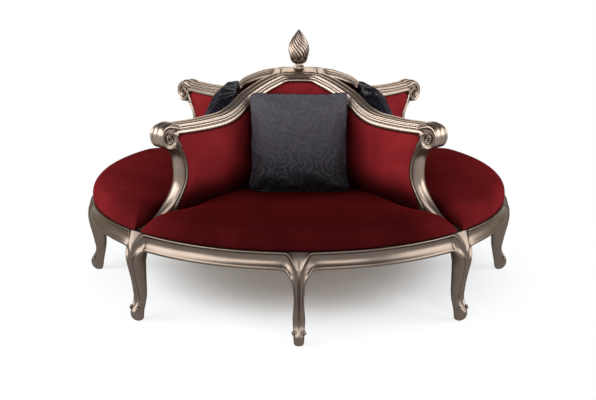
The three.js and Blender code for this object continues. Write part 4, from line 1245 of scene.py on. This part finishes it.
def seam_outline(across, up):
    """How far out and up the seam lies beside a place in the flat cloth."""
    wave = 0.0014 * math.sin(9 * up + 4 * across) + 0.0008 * math.sin(23 * across + 17 * up)
    waist = 0.935 + 0.015 * up
    shoulder = 1.02 if up > 0 else 1.07
    edge = 0.958 + 0.1 * abs(across) ** 4 if up > 0 else 0.985
    ear = 1 - 0.088 * abs(across * up) ** 10
    wide = half_wide * (waist + (shoulder - waist) * abs(up) ** 5) * ear
    tall = half_tall * edge * ear
    return math.copysign(wide + wave, across), math.copysign(tall + wave, up)


half_wide, half_tall = SEAM_SHARE * CUSHION_WIDE * MM, SEAM_SHARE * CUSHION_TALL * MM
for corner in cover.data.vertices:
    x, y, z = corner.co
    x *= CUSHION_THICK * THICK_SHARE * MM / size[0] * (1 - SINK * z / half_tall)
    swell = FRONT_SWELL if x > 0 else REAR_SWELL
    corner.co = (swell * x, 2 * half_wide * y / size[1], 2 * half_tall * z / size[2])
places = flat_places(cover)
seam_y, seam_z = {}, {}
for corner, (across, up) in zip(cover.data.vertices, places):
    if abs(across) > 0.999:
        seam_y[across > 0, round(up, 3)] = corner.co.y
    if abs(up) > 0.999:
        seam_z[up > 0, round(across, 3)] = corner.co.z
for corner, (across, up) in zip(cover.data.vertices, places):
    y, z = seam_outline(across, up)
    corner.co.y += (y - seam_y[across > 0, round(up, 3)]) * abs(across) ** 2
    corner.co.z += (z - seam_z[up > 0, round(across, 3)]) * abs(up) ** 2
use(cover, "SUBSURF", levels=1, render_levels=1)
soften(cover)
print("cushion cover", len(cover.data.polygons), "faces")

# %% Piping
CORD_SIDES = 8
CORD_OUT = 0.4


def piping(cover, thick):
    """A cord of this thickness in millimetres round the seam of the cover."""
    seam = {}
    for index, (across, up) in enumerate(flat_places(cover)):
        if max(abs(across), abs(up)) > 0.9999:
            seam.setdefault((round(across, 4), round(up, 4)), set()).add(index)
    ring = sorted(seam, key=lambda place: math.atan2(place[1], place[0]))[::2]
    middles = []
    for place in ring:
        corners = [cover.data.vertices[i].co for i in seam[place]]
        middles.append(sum(corners, Vector()) / len(corners))
    only(None)
    bpy.ops.mesh.primitive_torus_add(major_segments=len(ring), minor_segments=CORD_SIDES)
    cord = bpy.context.object
    cord.name = "piping_pattern"
    for k, middle in enumerate(middles):
        run = (middles[(k + 1) % len(ring)] - middles[k - 1]).normalized()
        out = run.cross(Vector((1, 0, 0))).normalized()
        radius = thick / 2 * MM * (1 + 0.08 * math.sin(k * 0.9) + 0.05 * math.sin(k * 2.3))
        for j in range(CORD_SIDES):
            angle = 2 * math.pi * j / CORD_SIDES
            place = out * (math.cos(angle) + CORD_OUT) + run.cross(out) * math.sin(angle)
            cord.data.vertices[CORD_SIDES * k + j].co = middle + radius * place
    face_outwards(cord)
    soften(cord)
    return cord


cord = piping(cover, 5)
print("cord", len(cord.data.polygons), "faces")

# %% [markdown]
# ## Slate damask
# The covers are a viscose and cotton damask, woven tone on tone: the figure is satin and shines,
# the ground is matt and looks darker. Scrolling leaves fill it, about 80 mm each. A Voronoi cell
# gives each scroll its place, the turn round that place and the distance from it wind a spiral, and
# fine ribs across the arms make them leaves. The figure changes colour, roughness and height
# together. Threads are 1 mm apart, coarser than real ones, so that they show. As in the photograph,
# the figure fades towards the top of a cushion. Light and shade are painted into the cloth: it is
# painted lighter towards the top and darker at its foot, and the two side cushions, which are
# nearly black there, are a darker and bluer copy, painted shade, that is also more creased.

# %% Damask
# millimetres: a sway of the drawing, a scroll, a vein, from thread to thread, a worn patch, a crease
SWAY = 71.4
SCROLL = 80
VEINS = 18.2
THREADS = 0.982
WEAR = 33.3
CREASES = 62.5


def make_damask(name, bright, crush, tint, sheen):
    """A damask: how bright it is, dimmed as painted shade, how deep its creases are, its tint and sheen."""
    material, tree = new_material(name)
    cut = node(tree, "UVMap", {"uv_map": "cut"})
    sway = node(tree, "TexNoise", {"Scale": per_metre(SWAY), "Detail": 1.0}, Vector=cut).outputs["Color"]
    bent = node(tree, "VectorMath", MULTIPLY_ADD, sway, (0.05, 0.05, 0.0), cut)
    cells = node(tree, "TexVoronoi",
                 {"voronoi_dimensions": "2D", "Scale": per_metre(SCROLL), "Randomness": 0.9}, Vector=bent)
    offset = node(tree, "VectorMath", {"operation": "SUBTRACT"}, bent, cells.outputs["Position"])
    split = node(tree, "SeparateXYZ", {}, offset)
    turn = node(tree, "Math", {"operation": "ARCTAN2"}, split.outputs["Y"], split.outputs["X"])
    thrice = node(tree, "Math", MULTIPLY, turn, 3.0)
    wound = node(tree, "Math", MULTIPLY_ADD, cells, 19.0, thrice)
    arms = node(tree, "Math", {"operation": "SINE"}, wound)
    inwards = node(tree, "Math", MULTIPLY, cells, -47.0)
    ribbed = node(tree, "Math", MULTIPLY_ADD, turn, 21.0, inwards)
    ribs = node(tree, "Math", {"operation": "SINE"}, ribbed)
    leaves = node(tree, "Math", MULTIPLY_ADD, ribs, 0.75, arms)
    veins = node(tree, "TexNoise", {"Scale": per_metre(VEINS), "Detail": 1.0}, Vector=bent)
    uneven = node(tree, "Math", MULTIPLY_ADD, veins, 2.4, -1.2)
    leafy = node(tree, "Math", {"operation": "ADD"}, leaves, uneven)
    figure = node(tree, "MapRange", {"From Min": -0.2, "From Max": 0.3}, leafy)

    up = node(tree, "SeparateXYZ", {}, cut).outputs["Y"]
    plain = node(tree, "MapRange",
                 {"From Min": -0.13, "From Max": -0.02, "To Min": 0.8, "To Max": 0.22}, up)
    wear = node(tree, "TexNoise", {"Scale": per_metre(WEAR), "Detail": 3.0}, Vector=cut)
    ground = node(tree, "Math", MULTIPLY_ADD, wear, 0.3, 0.35)
    raised = node(tree, "Math", {"operation": "SUBTRACT"}, figure, 0.5)
    tone = node(tree, "Math", MULTIPLY_ADD, raised, plain, ground)
    dye = node(tree, "ValToRGB",
               {"stops": [(0.08, "#2b292d"), (0.3, "#323034"), (0.8, "#3f3c42"), (0.98, "#484349")]}, tone)
    # painted shade: the cloth is painted darker towards the foot of the cushion, and the dark copy darker
    # all over
    painted_foot_shade = node(tree, "MapRange",
                {"From Min": -0.24, "From Max": -0.04, "To Min": 0.25 * bright, "To Max": bright}, up)
    # painted light: the cloth is painted lighter towards the top of the cushion
    steep = node(tree, "Math", MULTIPLY, up, 2.6)
    painted_light_and_shade = node(tree, "Math", {"operation": "EXPONENT"}, steep)
    painted_light_and_shade = node(tree, "Math", MULTIPLY, painted_light_and_shade, painted_foot_shade)
    lit = node(tree, "VectorMath", SCALE, dye, Scale=painted_light_and_shade)
    colour = node(tree, "VectorMath", MULTIPLY, lit, tint)

    rough = node(tree, "MapRange", {"To Min": 0.62, "To Max": 0.45}, figure)
    threads = node(tree, "TexWave",
                   {"Scale": bands(THREADS), "bands_direction": "Y"}, Vector=cut).outputs["Fac"]
    height = node(tree, "Math", MULTIPLY_ADD, threads, 0.12, figure)
    woven = node(tree, "Bump", {"Strength": 0.35, "Distance": 0.6 * MM}, Height=height)
    folds = node(tree, "TexNoise",
                 {"Scale": per_metre(CREASES), "Detail": 3.0, "Roughness": 0.55, "Distortion": 1.2},
                 Vector=bent)
    creased = node(tree, "Bump", {"Strength": crush, "Distance": 20 * MM}, Height=folds, Normal=woven)
    shader = node(tree, "BsdfPrincipled",
                  {"Sheen Weight": sheen, "Sheen Roughness": 0.35, "Sheen Tint": linear("#7d7384"),
                   "Specular IOR Level": sheen},
                  Base_Color=colour, Roughness=rough, Normal=creased)
    node(tree, "OutputMaterial", {}, shader)
    return material


weave = "slate_viscose_damask_jacquard_woven"
damask = make_damask(weave, 0.92, 0.1, (1.0, 1.0, 1.0), 0.04)
# painted shade: the two side cushions get a darker, bluer copy of the damask, which is also more creased
shaded_damask = make_damask("painted_shade_" + weave, 0.26, 0.6, (1.0, 0.97, 1.45), 0.015)
print("damask", len(damask.node_tree.nodes), "nodes")

# %% [markdown]
# ## Piping cloth
# The cord is covered with a cotton twill cut on the bias, so its fine diagonal ribs run round it. It
# is dull and nearly black, a little faded where it is handled.

# %% Twill
# millimetres: from rib to rib, and across a faded patch
TWILL_RIB = 1.208
FADING = 16.7


def make_cord_cloth():
    """The twill of the piped cord."""
    material, tree = new_material("dark_slate_cotton_twill_piping_bias_cut")
    place = node(tree, "TexCoord").outputs["Object"]
    ribs = node(tree, "TexWave",
                {"Scale": bands(TWILL_RIB), "bands_direction": "DIAGONAL", "Distortion": 0.6},
                Vector=place).outputs["Fac"]
    worn = node(tree, "TexNoise", {"Scale": per_metre(FADING), "Detail": 2.0}, Vector=place)
    tone = node(tree, "Math", MULTIPLY_ADD, ribs, 0.35, worn)
    colour = node(tree, "ValToRGB",
                  {"stops": [(0.3, "#0c0c12"), (0.75, "#1c1b24"), (1.0, "#2c2a35")]}, tone)
    bump = node(tree, "Bump", {"Strength": 0.4, "Distance": 0.4 * MM}, Height=ribs)
    shader = node(tree, "BsdfPrincipled", {"Roughness": 0.8, "Specular IOR Level": 0.1},
                  Base_Color=colour, Normal=bump)
    node(tree, "OutputMaterial", {}, shader)
    return material


twill = make_cord_cloth()

# %% [markdown]
# ## Cushions on their seats
# Each cushion stands on its seat and leans on the back, the two at the sides further back than the
# others. Those two stand on their other edge, so that their folds differ.

# %% Set the cushions on their seats
LEANS = {"front": 15.7, "right": 25.0, "back": 15.7, "left": 25.0}
for i, side in enumerate(SIDES):
    low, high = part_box(f"scatter_cushion_{side}")
    place = Matrix.Translation((low + high) / 2)
    for angle, axis in ((90 * i - 90, "Z"), (-LEANS[side], "Y"), (180 * (i % 2), "X")):
        place = place @ Matrix.Rotation(math.radians(angle), 4, axis)
    woven = shaded_damask if i % 2 else damask
    for pattern, part, cloth in ((cover, "cover", woven), (cord, "piping", twill)):
        piece = copied(pattern, f"scatter_cushion_{part}_{side}", place)
        dress(piece, cloth, f"cushion_{side}", "slate_fabric", f"scatter_cushion_{side}")
for pattern in (cover, cord):
    bpy.data.objects.remove(pattern)
print("cushions", [piece.name for piece in dressed[-8:]])

# %% [markdown]
# ## Frame timber
# What stays of the CAD model is the plain joinery under the cloth: the hub, the beams and the decks,
# seen only from below, and the edges of the dividing panels. It is sawn beech, so the grain runs
# along each piece, with saw marks across it and a dull, dry surface.

# %% Timber
# millimetres: the length and width of a figure in the grain, and from saw mark to saw mark
GRAIN = (333, 14.3, 14.3)
SAW_MARKS = 5.24


def make_timber(words, turn):
    """Sawn beech whose grain runs along X, turned by this rotation in degrees."""
    material, tree = new_material("sawn_beech_grain_" + words)
    place = node(tree, "TexCoord").outputs["Object"]
    aligned = node(tree, "Mapping", {"Rotation": [math.radians(-angle) for angle in turn]}, place)
    along = node(tree, "Mapping", {"Scale": [per_metre(size) for size in GRAIN]}, aligned)
    grain = node(tree, "TexNoise",
                 {"Scale": 1.0, "Detail": 5.0, "Roughness": 0.65, "Distortion": 0.3}, Vector=along)
    flecks = node(tree, "TexNoise", {"Scale": 9.0, "Detail": 2.0}, Vector=along)
    saw = node(tree, "TexWave",
               {"Scale": bands(SAW_MARKS), "Distortion": 1.5}, Vector=aligned).outputs["Fac"]
    tone = node(tree, "Math", MULTIPLY_ADD, flecks, 0.25, grain)
    colour = node(tree, "ValToRGB",
                  {"stops": [(0.4, "#7a5b3c"), (0.62, "#a5835c"), (0.85, "#bf9f78")]}, tone)
    height = node(tree, "Math", MULTIPLY_ADD, saw, 0.5, grain)
    bump = node(tree, "Bump", {"Strength": 0.3, "Distance": 0.6 * MM}, Height=height)
    shader = node(tree, "BsdfPrincipled", {"Roughness": 0.75}, Base_Color=colour, Normal=bump)
    node(tree, "OutputMaterial", {}, shader)
    return material


GRAIN_WORDS = ["left_to_right", "on_one_diagonal", "front_to_back", "on_other_diagonal"]
sawn = [make_timber(words, (0, 0, 45 * k)) for k, words in enumerate(GRAIN_WORDS)]
plans = {"hub_block": sawn[0], "hub_post": make_timber("upright", (0, 90, 0))}
for i, side in enumerate(DIRECTIONS):
    for part in ("divider_beam", "divider_panel", "seat_bearer", "seat_deck"):
        if f"{part}_{side}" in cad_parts:
            # the front is a quarter turn before +X
            plans[f"{part}_{side}"] = sawn[(i - 2) % 4]
for name, timber in plans.items():
    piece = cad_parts[name]
    if not piece.material_slots:
        piece.data.materials.append(timber)
    for slot in piece.material_slots:
        slot.material = timber
print("timber on", len(plans), "pieces of the CAD model")

# %% Faces in all
print("faces in all", sum(len(piece.data.polygons) for piece in dressed))
